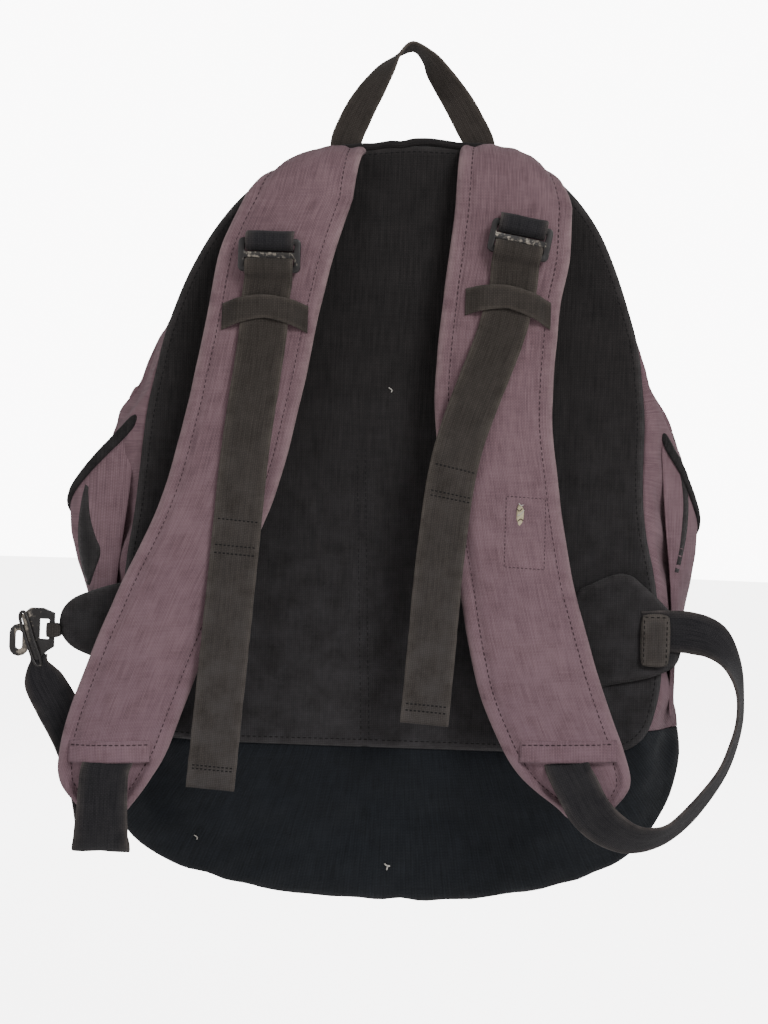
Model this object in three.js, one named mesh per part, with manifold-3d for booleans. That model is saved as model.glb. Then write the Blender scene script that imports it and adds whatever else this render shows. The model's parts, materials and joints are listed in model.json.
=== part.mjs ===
// A hiking daypack, empty, hanging by its grab handle: harness side facing -Y, +X to the right
// of someone looking at the harness, +Z up, millimetres. The origin is the inside of the
// handle's top, the point that rests on a hook.
import * as THREE from "three";
import Module from "manifold-3d";
import { mergeVertices } from "three/addons/utils/BufferGeometryUtils.js";

const wasm = await Module();
wasm.setup();

// ---- Driving dimensions ----------------------------------------------------------------
const GAP = 0.4; // clearance between pieces that touch
const CLOTH = 1.6; // pack cloth with its coating
const WEBBING = 30; // harness webbing width
const WEBBING_THICK = 1.8;
const HANDLE_WEBBING = 20; // grab handle webbing width
const FOAM_BACK = 6; // foam sheet behind the back panel
const FOAM_STRAP = 7; // foam core of a shoulder strap
const BASE_SEAM = -437; // where the base cloth starts, on the sides and the front
const PACK_BASE = -561; // lowest point of the pack
const ZIP_RADIUS = 160; // round top of the main zip, seen from the front
const ZIP_CENTRE = -240; // height of that arc's centre
const ZIP_END = -405; // lower ends of the main zip
const ZIP_TOP_DEPTH = 28; // depth of the zip line at its top
const ZIP_SLOPE = 0.11; // how much deeper the pack gets for each millimetre downwards
const ZIP_BAND = 8; // half the flat band that the zip is sewn into
const AROUND = 44; // points around the pack's outline

// ---- Helpers ---------------------------------------------------------------------------
const v3 = (x, y, z) => new THREE.Vector3(x, y, z);
const lerp = THREE.MathUtils.lerp;

function geometryOf(points, faces) {
  const geometry = new THREE.BufferGeometry();
  const numbers = points.flatMap((p) => [p.x, p.y, p.z]);
  geometry.setAttribute("position", new THREE.Float32BufferAttribute(numbers, 3));
  let volume = 0;
  for (let i = 0; i < faces.length; i += 3) {
    const [a, b, c] = [points[faces[i]], points[faces[i + 1]], points[faces[i + 2]]];
    volume += a.dot(b.clone().cross(c));
  }
  geometry.setIndex(volume < 0 ? faces.slice().reverse() : faces);
  return geometry;
}

// A closed solid through rings of equal point count, with a fan across each end.
function loft(rings) {
  const count = rings[0].length;
  const points = rings.flat();
  const faces = [];
  for (let r = 0; r + 1 < rings.length; r++) {
    for (let i = 0; i < count; i++) {
      const a = r * count + i;
      const b = r * count + ((i + 1) % count);
      faces.push(a, b, b + count, a, b + count, a + count);
    }
  }
  const last = (rings.length - 1) * count;
  for (const [start, turned] of [[0, true], [last, false]]) {
    const middle = v3(0, 0, 0);
    for (let i = 0; i < count; i++) middle.addScaledVector(points[start + i], 1 / count);
    points.push(middle);
    for (let i = 0; i < count; i++) {
      const a = start + i;
      const b = start + ((i + 1) % count);
      faces.push(points.length - 1, turned ? b : a, turned ? a : b);
    }
  }
  return geometryOf(points, faces);
}

// Flat webbing through stations { at, across }: across is the direction of its width.
function ribbon(stations, width, thickness = WEBBING_THICK) {
  const rings = stations.map((station, i) => {
    const before = stations[Math.max(i - 1, 0)].at;
    const after = stations[Math.min(i + 1, stations.length - 1)].at;
    const along = after.clone().sub(before).normalize();
    const across = station.across.clone().addScaledVector(along, -along.dot(station.across));
    across.normalize().multiplyScalar(width / 2);
    const out = along.cross(across).normalize().multiplyScalar(thickness / 2);
    const corner = (a, b) => station.at.clone().addScaledVector(across, a).addScaledVector(out, b);
    return [corner(-1, -1), corner(1, -1), corner(1, 1), corner(-1, 1)];
  });
  return loft(rings);
}

// A plate with its outline in X and Z, between two depths.
function plate(outline, nearY, farY, holes = []) {
  const shape = new THREE.Shape(outline.map(([x, z]) => new THREE.Vector2(x, z)));
  for (const hole of holes) {
    shape.holes.push(new THREE.Path(hole.map(([x, z]) => new THREE.Vector2(x, z))));
  }
  const geometry = new THREE.ExtrudeGeometry(shape, { depth: farY - nearY, bevelEnabled: false });
  return geometry.rotateX(Math.PI / 2).translate(0, farY, 0);
}

const rectangle = (x0, z0, x1, z1) => [[x0, z0], [x1, z0], [x1, z1], [x0, z1]];

function roundedRectangle(width, height, radius, steps = 3) {
  const points = [];
  const centres = [[1, 1], [-1, 1], [-1, -1], [1, -1]];
  centres.forEach(([sx, sz], corner) => {
    for (let i = 0; i <= steps; i++) {
      const angle = (corner + i / steps) * (Math.PI / 2);
      const x = sx * (width / 2 - radius) + radius * Math.cos(angle);
      const z = sz * (height / 2 - radius) + radius * Math.sin(angle);
      points.push([x, z]);
    }
  });
  return points;
}

function solidOf(geometry) {
  const bare = geometry.index ? geometry.toNonIndexed() : geometry.clone();
  bare.deleteAttribute("normal");
  bare.deleteAttribute("uv");
  const merged = mergeVertices(bare, 1e-4);
  return new wasm.Manifold(new wasm.Mesh({
    numProp: 3,
    vertProperties: merged.attributes.position.array,
    triVerts: new Uint32Array(merged.index.array),
  }));
}

function geometryFrom(solid) {
  const mesh = solid.getMesh();
  const geometry = new THREE.BufferGeometry();
  geometry.setAttribute("position", new THREE.BufferAttribute(mesh.vertProperties, 3));
  return geometry.setIndex(new THREE.BufferAttribute(mesh.triVerts, 1));
}

// The part of a solid on the side of a plane that the normal points to.
function keep(solid, normal, point) {
  const size = 1600;
  const box = new THREE.BoxGeometry(size, size, size).translate(0, 0, size / 2);
  const turn = new THREE.Quaternion().setFromUnitVectors(v3(0, 0, 1), normal);
  box.applyQuaternion(turn).translate(point.x, point.y, point.z);
  return solid.intersect(solidOf(box));
}

// ---- Colours ---------------------------------------------------------------------------
const finish = (color, roughness, metalness = 0) =>
  new THREE.MeshStandardMaterial({ color, roughness, metalness });
const canvas = finish(0x7f696c, 0.85);
const blackCloth = finish(0x232224, 0.8);
const baseCloth = finish(0x17191f, 0.8);
const olive = finish(0x3d3833, 0.75);
const foam = finish(0xc9c2a8, 0.95);
const buckleMetal = finish(0x3a3a3c, 0.4, 0.7);
const zipPlastic = finish(0x1d1c1e, 0.5);

function add(group, name, geometry, material) {
  const mesh = new THREE.Mesh(geometry, material);
  mesh.name = name;
  group.add(mesh);
  return mesh;
}

const daypack = new THREE.Group();
const bag = new THREE.Group();
const lid = new THREE.Group();
daypack.add(bag, lid);

// ---- Outlines of the pack, right half, top centre to bottom centre -----------------------
const BACK_HALF = [
  [0, -63], [60, -67], [95, -82], [121, -112], [139, -148], [152, -186], [160, -235],
  [163, -300], [173, -350], [175, -425], [167, -446], [150, -452], [0, -452],
];
const SIDE_HALF = [
  [0, -70], [58, -74], [93, -89], [122, -114], [142, -146], [160, -190], [186, -238], [196, -300],
  [195, -400], [199, -452], [191, -490], [166, -527], [110, -550], [50, PACK_BASE], [0, PACK_BASE],
];
const ZIP_HALF = [0, 15, 30, 45, 60, 75, 90]
  .map((degrees) => THREE.MathUtils.degToRad(degrees))
  .map((angle) => [ZIP_RADIUS * Math.sin(angle), ZIP_CENTRE + ZIP_RADIUS * Math.cos(angle)])
  .concat([[160, -480], [140, -530], [100, -552], [50, PACK_BASE], [0, PACK_BASE]]);
const OUTLINE_CENTRE = -260;

// The point where a ray from the outline's centre, at an angle from straight up, meets it.
function onOutline(half, angle, inset = 0) {
  const side = Math.sin(angle) < 0 ? -1 : 1;
  const [dx, dz] = [Math.abs(Math.sin(angle)), Math.cos(angle)];
  for (let i = 0; i + 1 < half.length; i++) {
    const [x0, z0] = [half[i][0], half[i][1] - OUTLINE_CENTRE];
    const [x1, z1] = [half[i + 1][0], half[i + 1][1] - OUTLINE_CENTRE];
    const start = x0 * dz - z0 * dx;
    const end = x1 * dz - z1 * dx;
    if (start <= 1e-9 && end >= -1e-9 && end > start) {
      const t = THREE.MathUtils.clamp(-start / (end - start), 0, 1);
      const radius = Math.hypot(lerp(x0, x1, t), lerp(z0, z1, t)) - inset;
      return [side * radius * dx, OUTLINE_CENTRE + radius * dz];
    }
  }
  throw new Error("no outline at this angle");
}

function wholeOutline(half, inset = 0) {
  const angles = Array.from({ length: AROUND }, (_, i) => (i * 2 * Math.PI) / AROUND);
  return angles.map((angle) => onOutline(half, angle, inset));
}

// Half-width of an outline at a height on the pack's sides.
function halfWidthAt(half, z) {
  for (let i = 0; i + 1 < half.length; i++) {
    const [[x0, z0], [x1, z1]] = [half[i], half[i + 1]];
    if (z0 >= z && z1 <= z && z0 > z1) return lerp(x0, x1, (z0 - z) / (z0 - z1));
  }
  throw new Error("height is off the outline");
}

const zipTop = ZIP_CENTRE + ZIP_RADIUS;
const zipDepth = (z) => ZIP_TOP_DEPTH + (zipTop - z) * ZIP_SLOPE;
const sideDepth = (z) => 0.6 * zipDepth(z);
const FRONT_RISE = 32; // how far the front stands in front of the zip line
const frontDepth = (z) => zipDepth(z) + FRONT_RISE;
const zipNormal = v3(0, 1, ZIP_SLOPE).normalize();
const zipPoint = v3(0, zipDepth(ZIP_CENTRE), ZIP_CENTRE);

// ---- The pack's shell, cut at its seams --------------------------------------------------
const BACK_EDGE = 2; // depth where the side cloth meets the back panel

function shellRings(inset) {
  const ring = (half, extra, depth) =>
    wholeOutline(half, inset + extra).map(([x, z]) => v3(x, depth(z), z));
  return [
    ring(BACK_HALF, 0, () => BACK_EDGE),
    ring(SIDE_HALF, 0, sideDepth),
    ring(ZIP_HALF, 0, (z) => zipDepth(z) - ZIP_BAND),
    ring(ZIP_HALF, 0, (z) => zipDepth(z) + ZIP_BAND),
    ring(ZIP_HALF, 18, (z) => zipDepth(z) + 0.65 * FRONT_RISE - inset),
    ring(ZIP_HALF, 58, (z) => frontDepth(z) - inset),
  ];
}

// The space inside runs straight out through the back edge, where the back panel closes it.
function innerRings() {
  const rings = shellRings(CLOTH);
  return [rings[0].map((p) => v3(p.x, BACK_EDGE - 1, p.z)), ...rings];
}

const shell = solidOf(loft(shellRings(0))).subtract(solidOf(loft(innerRings())));
const up = v3(0, 0, 1);
const down = v3(0, 0, -1);
const seamUpper = v3(0, 0, BASE_SEAM + GAP / 2);
const seamLower = v3(0, 0, BASE_SEAM - GAP / 2);
const frontOfZip = zipPoint.clone().addScaledVector(zipNormal, GAP / 2);
const behindZip = zipPoint.clone().addScaledVector(zipNormal, -GAP / 2);

const sides = keep(keep(shell, up, seamUpper), zipNormal.clone().negate(), behindZip);
for (const [side, name] of [[-1, "left"], [1, "right"]]) {
  const half = keep(sides, v3(side, 0, 0), v3((side * GAP) / 2, 0, 0));
  add(bag, `side_panel_${name}`, geometryFrom(half), canvas);
}
add(bag, "base_panel", geometryFrom(keep(shell, down, seamLower)), baseCloth);
const frontShell = keep(keep(shell, up, seamUpper), zipNormal, frontOfZip);
add(lid, "front_panel", geometryFrom(frontShell), canvas);

add(bag, "back_panel", plate(wholeOutline(BACK_HALF, GAP), 0, CLOTH), blackCloth);
const foamNear = BACK_EDGE + GAP;
const foamOutline = wholeOutline(BACK_HALF, 9);
add(bag, "back_foam", plate(foamOutline, foamNear, foamNear + FOAM_BACK), foam);

// ---- Main zip: two half coils, two sliders with pulls -------------------------------------
const COIL_WIDTH = 5;
const COIL_THICK = 1.4;
const COIL_LIFT = 1; // above the band, which the tilted zip plane needs

// Points along the zip line, from the left end over the top to the right end.
function zipLine(lift) {
  const radius = ZIP_RADIUS + lift;
  const arc = Array.from({ length: 25 }, (_, i) => THREE.MathUtils.degToRad(-90 + i * 7.5));
  const points = arc.map((a) => [radius * Math.sin(a), ZIP_CENTRE + radius * Math.cos(a)]);
  points.unshift([-radius, ZIP_END]);
  points.push([radius, ZIP_END]);
  return points.map(([x, z]) => v3(x, zipDepth(z), z));
}

for (const [side, group, name] of [[-1, bag, "main_zip_rear"], [1, lid, "main_zip_front"]]) {
  const offset = side * (COIL_WIDTH / 2 + GAP / 2);
  const stations = zipLine(COIL_LIFT + COIL_THICK / 2).map((point) => ({
    at: point.addScaledVector(zipNormal, offset),
    across: zipNormal,
  }));
  add(group, name, ribbon(stations, COIL_WIDTH, COIL_THICK), zipPlastic);
}

const SLIDER_PARK = THREE.MathUtils.degToRad(4); // each slider stands this far off the top
const PULL_LENGTH = 26;

// A slider in its own frame: X along the zip, Z out of the cloth, with an open bridge on top.
function sliderGeometry() {
  const body = [[-5.5, 0], [5.5, 0], [5.5, 2.2], [3.6, 5], [-3.6, 5], [-5.5, 2.2]];
  const hole = rectangle(-2.2, 2, 2.2, 3.6);
  return plate(body, -4, 4, [hole]);
}

// A pull in its own frame, its pivot at the origin and its tab along -X.
function pullGeometry(length) {
  const outline = [[-3, -2.4], [-length, -3.4], [-length - 2, 0], [-length, 3.4], [-3, 2.4]];
  return plate(outline, -0.8, 0.8).rotateX(Math.PI / 2);
}

const tiltBack = Math.atan(ZIP_SLOPE);
const zipFrame = new THREE.Group();
zipFrame.position.copy(zipPoint);
zipFrame.rotation.x = tiltBack;
daypack.add(zipFrame);
const SLIDER_CLEAR = 0.9; // lets the front half coil leave as the panel opens
const sliderRadius = ZIP_RADIUS / Math.cos(tiltBack) + COIL_LIFT + COIL_THICK + SLIDER_CLEAR;
for (const [side, name] of [[-1, "left"], [1, "right"]]) {
  const turn = new THREE.Group();
  turn.rotation.y = side * SLIDER_PARK;
  const seat = new THREE.Group();
  seat.position.z = sliderRadius;
  seat.scale.x = side < 0 ? 1 : -1;
  turn.add(seat);
  zipFrame.add(turn);
  add(seat, `zip_slider_${name}`, sliderGeometry(), buckleMetal);
  const pull = add(seat, `zip_pull_${name}`, pullGeometry(PULL_LENGTH), buckleMetal);
  pull.position.set(-5.5, 0, 3);
}

// ---- Front pocket on the lid ---------------------------------------------------------------
const POCKET_WIDTH = 176;
const POCKET_HEIGHT = 118;
const POCKET_DEPTH = 14;
const pocketFrame = new THREE.Group();
const pocketMiddle = -366;
pocketFrame.position.set(0, frontDepth(pocketMiddle) + GAP, pocketMiddle);
pocketFrame.rotation.x = tiltBack;
lid.add(pocketFrame);

function frontPocket() {
  const outer = plate(roundedRectangle(POCKET_WIDTH, POCKET_HEIGHT, 14), 0, POCKET_DEPTH);
  const width = POCKET_WIDTH - 2 * CLOTH;
  const hollow = plate(roundedRectangle(width, POCKET_HEIGHT, 13), -1, POCKET_DEPTH - CLOTH);
  const mouth = plate(rectangle(-70, 0, 70, POCKET_HEIGHT), -1, POCKET_DEPTH - CLOTH);
  const cut = solidOf(hollow.translate(0, 0, CLOTH)).add(solidOf(mouth));
  return geometryFrom(solidOf(outer).subtract(cut));
}
add(pocketFrame, "front_pocket", frontPocket(), canvas);
const POCKET_ZIP_DROP = 16; // below the pocket's top edge
const POCKET_ZIP_HALF = [82, 5]; // half its length and half its width
const POCKET_PARK = -74; // where its slider stands when it is closed
const pocketZipHeight = POCKET_HEIGHT / 2 - POCKET_ZIP_DROP;
const pocketZipNear = POCKET_DEPTH + GAP;
const pocketZipFar = pocketZipNear + COIL_THICK;
const pocketSliderDepth = pocketZipFar + GAP;
const [zipHalfLength, zipHalfWidth] = POCKET_ZIP_HALF;
const pocketZip = rectangle(
  -zipHalfLength, pocketZipHeight - zipHalfWidth, zipHalfLength, pocketZipHeight + zipHalfWidth,
);
add(pocketFrame, "pocket_zip", plate(pocketZip, pocketZipNear, pocketZipFar), zipPlastic);

const pocketSlider = new THREE.Group();
pocketSlider.position.set(POCKET_PARK, pocketSliderDepth, pocketZipHeight);
pocketSlider.rotation.x = -Math.PI / 2;
pocketFrame.add(pocketSlider);
add(pocketSlider, "pocket_slider", sliderGeometry(), buckleMetal);
const pocketPull = add(pocketFrame, "pocket_pull", pullGeometry(22), buckleMetal);
pocketPull.rotation.set(-Math.PI / 2, -Math.PI / 2, 0, "YXZ");
pocketPull.position.set(POCKET_PARK, pocketSliderDepth + 3, pocketZipHeight - 3.5);

// ---- Side pockets with bound rims -----------------------------------------------------------
const POCKET_FLOOR = -430;
const RIM_BACK = -240; // rim height at the back panel
const RIM_FRONT = -352; // rim height at its front end
const BINDING_SHARE = 0.05; // share of the pocket's height that its binding covers

// A point on the pack's side wall: u runs from the back panel, round the edge, to the zip.
function wallPoint(side, u, z) {
  const back = v3(halfWidthAt(BACK_HALF, z), BACK_EDGE, z);
  const edge = v3(halfWidthAt(SIDE_HALF, z), sideDepth(z), z);
  const front = v3(halfWidthAt(ZIP_HALF, z), zipDepth(z) - ZIP_BAND, z);
  const point = u < 0.5 ? back.lerp(edge, u * 2) : edge.clone().lerp(front, u * 2 - 1);
  point.x *= side;
  return point;
}

// A point of the side pocket: u along its rim, v from its floor to its rim, lift outwards.
function pocketPoint(side, bulge, u, v, lift) {
  const z = lerp(POCKET_FLOOR, lerp(RIM_BACK, RIM_FRONT, u), v);
  const wall = wallPoint(side, 0.16 + 0.68 * u, z);
  const swell = 1.4 + bulge * Math.sin(Math.PI * u) * Math.sin((0.15 + 0.85 * v) * (Math.PI / 2));
  const angle = lerp(-0.9, 0.85, u);
  const out = swell + lift;
  return wall.add(v3(side * out * Math.cos(angle), out * Math.sin(angle), 0));
}

// A layer of the pocket between two heights and two lifts.
function pocketLayer(side, bulge, heights, near, far) {
  const columns = 12;
  const rings = heights.map((v) => {
    const ring = [];
    for (let c = 0; c <= columns; c++) ring.push(pocketPoint(side, bulge, c / columns, v, far));
    for (let c = columns; c >= 0; c--) ring.push(pocketPoint(side, bulge, c / columns, v, near));
    return ring;
  });
  return stripEnds(rings, columns);
}

// Closes a stack of strip-shaped rings whose ends can't be closed by a fan.
function stripEnds(rings, columns) {
  const count = rings[0].length;
  const points = rings.flat();
  const faces = [];
  for (let r = 0; r + 1 < rings.length; r++) {
    for (let i = 0; i < count; i++) {
      const a = r * count + i;
      const b = r * count + ((i + 1) % count);
      faces.push(a, b, b + count, a, b + count, a + count);
    }
  }
  for (const [start, turned] of [[0, true], [(rings.length - 1) * count, false]]) {
    for (let c = 0; c < columns; c++) {
      const quad = [start + c, start + c + 1, start + count - 2 - c, start + count - 1 - c];
      const [a, b, e, d] = turned ? [quad[0], quad[3], quad[2], quad[1]] : quad;
      faces.push(a, b, e, a, e, d);
    }
  }
  return geometryOf(points, faces);
}

for (const [side, name, bulge] of [[-1, "left", 20], [1, "right", 9]]) {
  const heights = [0, 0.15, 0.3, 0.45, 0.6, 0.75, 0.88, 1];
  const sheet = pocketLayer(side, bulge, heights, 0, CLOTH);
  add(bag, `side_pocket_${name}`, sheet, canvas);
  const rim = pocketLayer(side, bulge, [1 - BINDING_SHARE, 1], CLOTH + GAP, CLOTH + GAP + 1);
  add(bag, `pocket_binding_${name}`, rim, blackCloth);
}

// ---- Wings, their tabs and the lower webbing -------------------------------------------------
const WING_NEAR = -4.8;
const WING_FAR = -2.4;

const wingOutline = (side, tip) => [
  [side * 150, -347], [side * 183, -353], [side * tip, -366],
  [side * tip, -391], [side * 184, -404], [side * 150, -412],
];
add(bag, "wing_left", plate(wingOutline(-1, 214), WING_NEAR, WING_FAR), blackCloth);
add(bag, "wing_right", plate(wingOutline(1, 205), WING_NEAR, WING_FAR), blackCloth);

const webbingY = WING_NEAR - GAP - WEBBING_THICK / 2;
const sleeveFar = webbingY - WEBBING_THICK / 2 - GAP;
const sleeve = rectangle(162, -394, 183, -360);
add(bag, "wing_sleeve_right", plate(sleeve, sleeveFar - 1.4, sleeveFar), olive);

// Right lower webbing: out of the wing, round in a loose loop and up into the strap's end.
// at is its middle, turn the angle of its width from straight up, tip how far it faces forwards.
const rightLoop = [
  [164, webbingY, -376, 4, 0], [186, webbingY, -376, 6, 0], [204, -8, -380, 20, 4],
  [216, -10, -390, 42, 22], [223, -13, -405, 68, 48], [225, -17, -424, 84, 62],
  [222, -21, -444, 97, 64], [215, -25, -462, 108, 60], [204, -28, -478, 124, 50],
  [191, -31, -490.5, 140, 38], [178, -34, -498, 158, 24],
];
const rightStub = [
  [172, -35, -501, 160, 22], [159, -39, -503, 172, 14], [145, -43.5, -499, 186, 8],
  [132, -47.5, -489, 202, 2], [119, -48, -476, 216, 0], [110, -48, -466, 224, 0],
];

function webbingThrough(list) {
  return list.map(([x, y, z, turn, tip]) => {
    const angle = THREE.MathUtils.degToRad(turn);
    const lean = THREE.MathUtils.degToRad(tip);
    const flat = v3(Math.sin(angle), 0, Math.cos(angle)).multiplyScalar(Math.cos(lean));
    return { at: v3(x, y, z), across: flat.add(v3(0, Math.sin(lean), 0)) };
  });
}
add(bag, "lower_webbing_right", ribbon(webbingThrough(rightLoop), 27), olive);

// Left lower webbing: from the fold below the strap, up behind it to the side buckle.
const leftRun = [
  [-178, -33, -519, 90, 0], [-184, -27, -504, 84, 0], [-196, -21, -480, 72, 0],
  [-210, -15, -450, 66, 0], [-222, -9, -428, 66, 0], [-231, webbingY, -411, 66, 0],
];
const leftStub = [
  [-176, -48.6, -466, 92, 0], [-175.5, -48.6, -494, 92, 0], [-176, -45, -510, 90, 0],
  [-176.5, -38, -519.5, 90, 0],
];
add(bag, "lower_webbing_left", ribbon(webbingThrough(leftRun), WEBBING), olive);

// ---- Side buckle on the left wing ---------------------------------------------------------
const HOOK_BAR = v3(-219.5, -3.6, -384);
const sideBuckle = new THREE.Group();
sideBuckle.position.copy(HOOK_BAR);
daypack.add(sideBuckle);

function buckleFrame() {
  const outline = [
    [1.5, -11], [1.5, 11], [-6, 14], [-14, 14], [-20, 9], [-15, -7], [-13, -19], [-8, -20],
    [-3, -14],
  ];
  const slot = rectangle(-8, -6, -1.6, 7);
  return plate(outline, -2.2, 2.2, [slot]);
}
add(sideBuckle, "side_buckle_frame", buckleFrame(), buckleMetal);
const ring = roundedRectangle(12, 21, 5.9);
const ringHole = roundedRectangle(4.6, 12, 2.2).reverse();
const ringMesh = add(sideBuckle, "side_buckle_ring", plate(ring, -1.6, 1.6, [ringHole]), buckleMetal);
ringMesh.position.set(-26.6, 0, -7);

function tabAroundBar() {
  const radius = 3.4;
  const stations = [{ at: v3(HOOK_BAR.x + 6, HOOK_BAR.y - radius, HOOK_BAR.z), across: up }];
  for (let i = 0; i <= 8; i++) {
    const angle = -Math.PI / 2 - (i * Math.PI) / 8;
    const x = HOOK_BAR.x - 0.1 + radius * Math.cos(angle);
    stations.push({ at: v3(x, HOOK_BAR.y + radius * Math.sin(angle), HOOK_BAR.z), across: up });
  }
  stations.push({ at: v3(HOOK_BAR.x + 6, HOOK_BAR.y + radius, HOOK_BAR.z), across: up });
  return ribbon(stations, 10, 1.2);
}
add(bag, "wing_tab_left", tabAroundBar(), olive);

// ---- Shoulder straps -----------------------------------------------------------------------
// Stations down a strap: [x of its middle, y of its face side, z, half its width].
const STRAPS = {
  left: {
    path: [
      [-58, -7, -70, 28], [-62, -19, -84, 32], [-67, -25, -102, 32], [-79, -28, -136, 34],
      [-88, -31, -172, 36], [-99, -34, -235, 36], [-114, -38, -298, 36], [-140, -42, -360, 36],
      [-163, -45, -424, 36], [-172, -47, -456, 34], [-177, -47, -476, 28], [-176, -47, -494, 14],
    ],
    buckle: [-85.5, -143, 0],
    tail: [[-86.5, -158], [-88.5, -198], [-96, -265], [-100, -327], [-104, -390], [-109.5, -475]],
    stub: leftStub,
  },
  right: {
    path: [
      [58, -7, -70, 29], [64, -19, -84, 33], [67, -25, -103, 36], [65, -28, -136, 37],
      [61, -31, -172, 38], [58.5, -34, -235, 38], [66, -37, -289, 37], [76, -40, -342, 37],
      [92, -43, -404, 40], [108, -45, -444, 39], [118, -46, -466, 34], [123, -46, -482, 18],
    ],
    buckle: [72.5, -128, 10],
    tail: [[70.5, -144], [60, -190], [36.5, -260], [28, -323], [24, -385], [21, -431]],
    stub: rightStub,
  },
};
const STRAP_BOW = 3; // how far a strap's edges bend back

// Where a strap's face lies at a height, and how wide it is there.
function strapAt(path, z) {
  for (let i = 0; i + 1 < path.length; i++) {
    if (path[i][2] >= z && path[i + 1][2] <= z) {
      const t = (path[i][2] - z) / (path[i][2] - path[i + 1][2]);
      const [x, y, , half] = path[i].map((value, k) => lerp(value, path[i + 1][k], t));
      return { x, y, half };
    }
  }
  throw new Error("height is off the strap");
}

// One layer of a strap between two depths behind its face, pulled in at its edges.
function strapLayer(path, near, far, inset, bow = STRAP_BOW) {
  const rings = path.map(([x, y, z, half]) => {
    const width = half - inset;
    const samples = [-1, -0.5, 0, 0.5, 1];
    const point = (u, depth) => v3(x + u * width, y + depth + bow * u * u, z);
    const back = samples.slice().reverse();
    return [...samples.map((u) => point(u, near)), ...back.map((u) => point(u, far))];
  });
  return stripEnds(rings, 4);
}

// A ladder buckle: three bars in a frame, its upper bar at the origin.
function ladderBuckle() {
  const bar = 4;
  const slotHeight = 4.6;
  const slotWidth = WEBBING + 1;
  const width = slotWidth + 2 * bar;
  const height = 3 * bar + 2 * slotHeight;
  const outline = roundedRectangle(width, height, 3).map(([x, z]) => [x, z - height / 2 + bar / 2]);
  const slots = [0, 1].map((k) => {
    const top = -bar / 2 - k * (bar + slotHeight);
    return rectangle(-slotWidth / 2, top - slotHeight, slotWidth / 2, top);
  });
  return plate(outline, -1.7, 1.7, slots);
}

// The keeper: a band across the strap, arched over the webbing that runs under it.
function keeperBand(path, middle, z, span) {
  const rise = WEBBING_THICK + 3.2;
  const profile = [-1, -0.86, -0.66, -0.3, 0.3, 0.66, 0.86, 1];
  const stations = profile.map((u) => {
    const x = middle + (u * span) / 2;
    const face = strapAt(path, z);
    const bow = STRAP_BOW * ((x - face.x) / face.half) ** 2;
    const lift = Math.abs(u) > 0.8 ? 2.2 : rise;
    return { at: v3(x, face.y + bow - lift, z), across: up };
  });
  return ribbon(stations, 17, 1.2);
}

function shoulderStrap(name, design) {
  const { path } = design;
  const strap = new THREE.Group();
  daypack.add(strap);
  const faceFar = 1.2;
  const foamFar = faceFar + GAP + FOAM_STRAP;
  const webFar = foamFar + GAP + 1.4;
  const named = (piece) => `${piece}_${name}`;
  add(strap, named("strap_face"), strapLayer(path, 0, faceFar, 0), canvas);
  const core = path.slice(1, -1);
  add(strap, named("strap_foam"), strapLayer(core, faceFar + GAP, foamFar, 3), foam);
  const lining = strapLayer(path.slice(1), webFar + GAP, webFar + GAP + 1.2, 0.5);
  add(strap, named("strap_lining"), lining, blackCloth);
  const inner = path.slice(3, -2).map(([x, y, z]) => [x, y, z, WEBBING / 2]);
  add(strap, named("inner_webbing"), strapLayer(inner, foamFar + GAP + 0.2, webFar, 0, 0.3), olive);

  // Webbing at the adjuster: anchor, roll over the buckle, then down through the keeper.
  const [buckleX, buckleZ, lean] = design.buckle;
  const face = strapAt(path, buckleZ);
  const anchorFace = strapAt(path, buckleZ + 16);
  const stack = face.y - GAP - WEBBING_THICK / 2;
  const anchor = [
    { at: v3(buckleX, anchorFace.y - GAP - 1, buckleZ + 22), across: v3(1, 0, 0) },
    { at: v3(buckleX, stack - 2.4, buckleZ + 14.6), across: v3(1, 0, 0) },
  ];
  add(strap, named("buckle_anchor"), ribbon(anchor, WEBBING, 1.2), olive);

  const adjuster = new THREE.Group();
  adjuster.position.set(buckleX, stack - 4.6, buckleZ + 9);
  adjuster.rotation.y = THREE.MathUtils.degToRad(lean);
  strap.add(adjuster);
  add(adjuster, named("ladder_buckle"), ladderBuckle(), buckleMetal);
  const roll = [[-4.6, -6.4], [-5.6, -10], [-5.2, -15], [-2.8, -19]];
  const rollPath = roll.map(([y, z]) => ({ at: v3(0, y, z), across: v3(1, 0, 0) }));
  add(adjuster, named("buckle_roll"), ribbon(rollPath, WEBBING), olive);

  const tailStation = ([x, z]) => ({ at: v3(x, strapAt(path, z).y - 2.2, z), across: v3(1, 0, 0) });
  const [topEnd, keeperEnd, ...free] = design.tail;
  const under = [topEnd, keeperEnd].map(tailStation);
  add(strap, named("tail_top"), ribbon(under, WEBBING), olive);
  const start = tailStation([keeperEnd[0], keeperEnd[1] - 2.4]);
  const tail = [start, ...free.map((point) => tailStation(point))];
  add(strap, named("tail"), ribbon(tail, WEBBING), olive);

  const keeperZ = (topEnd[1] + keeperEnd[1]) / 2;
  const keeperX = (topEnd[0] + keeperEnd[0]) / 2;
  add(strap, named("keeper"), keeperBand(path, keeperX, keeperZ, 54), blackCloth);
  add(strap, named("lower_stub"), ribbon(webbingThrough(design.stub), WEBBING), olive);
}
for (const [name, design] of Object.entries(STRAPS)) shoulderStrap(name, design);

// ---- Grab handle ------------------------------------------------------------------------------
// One length of webbing, flat where it is sewn on and turned a quarter turn over the hook.
const HANDLE_FOOT = 41; // half the distance between the sewn ends
const HANDLE_SEAM = -59.5;
const HANDLE_Y = 4;

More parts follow.
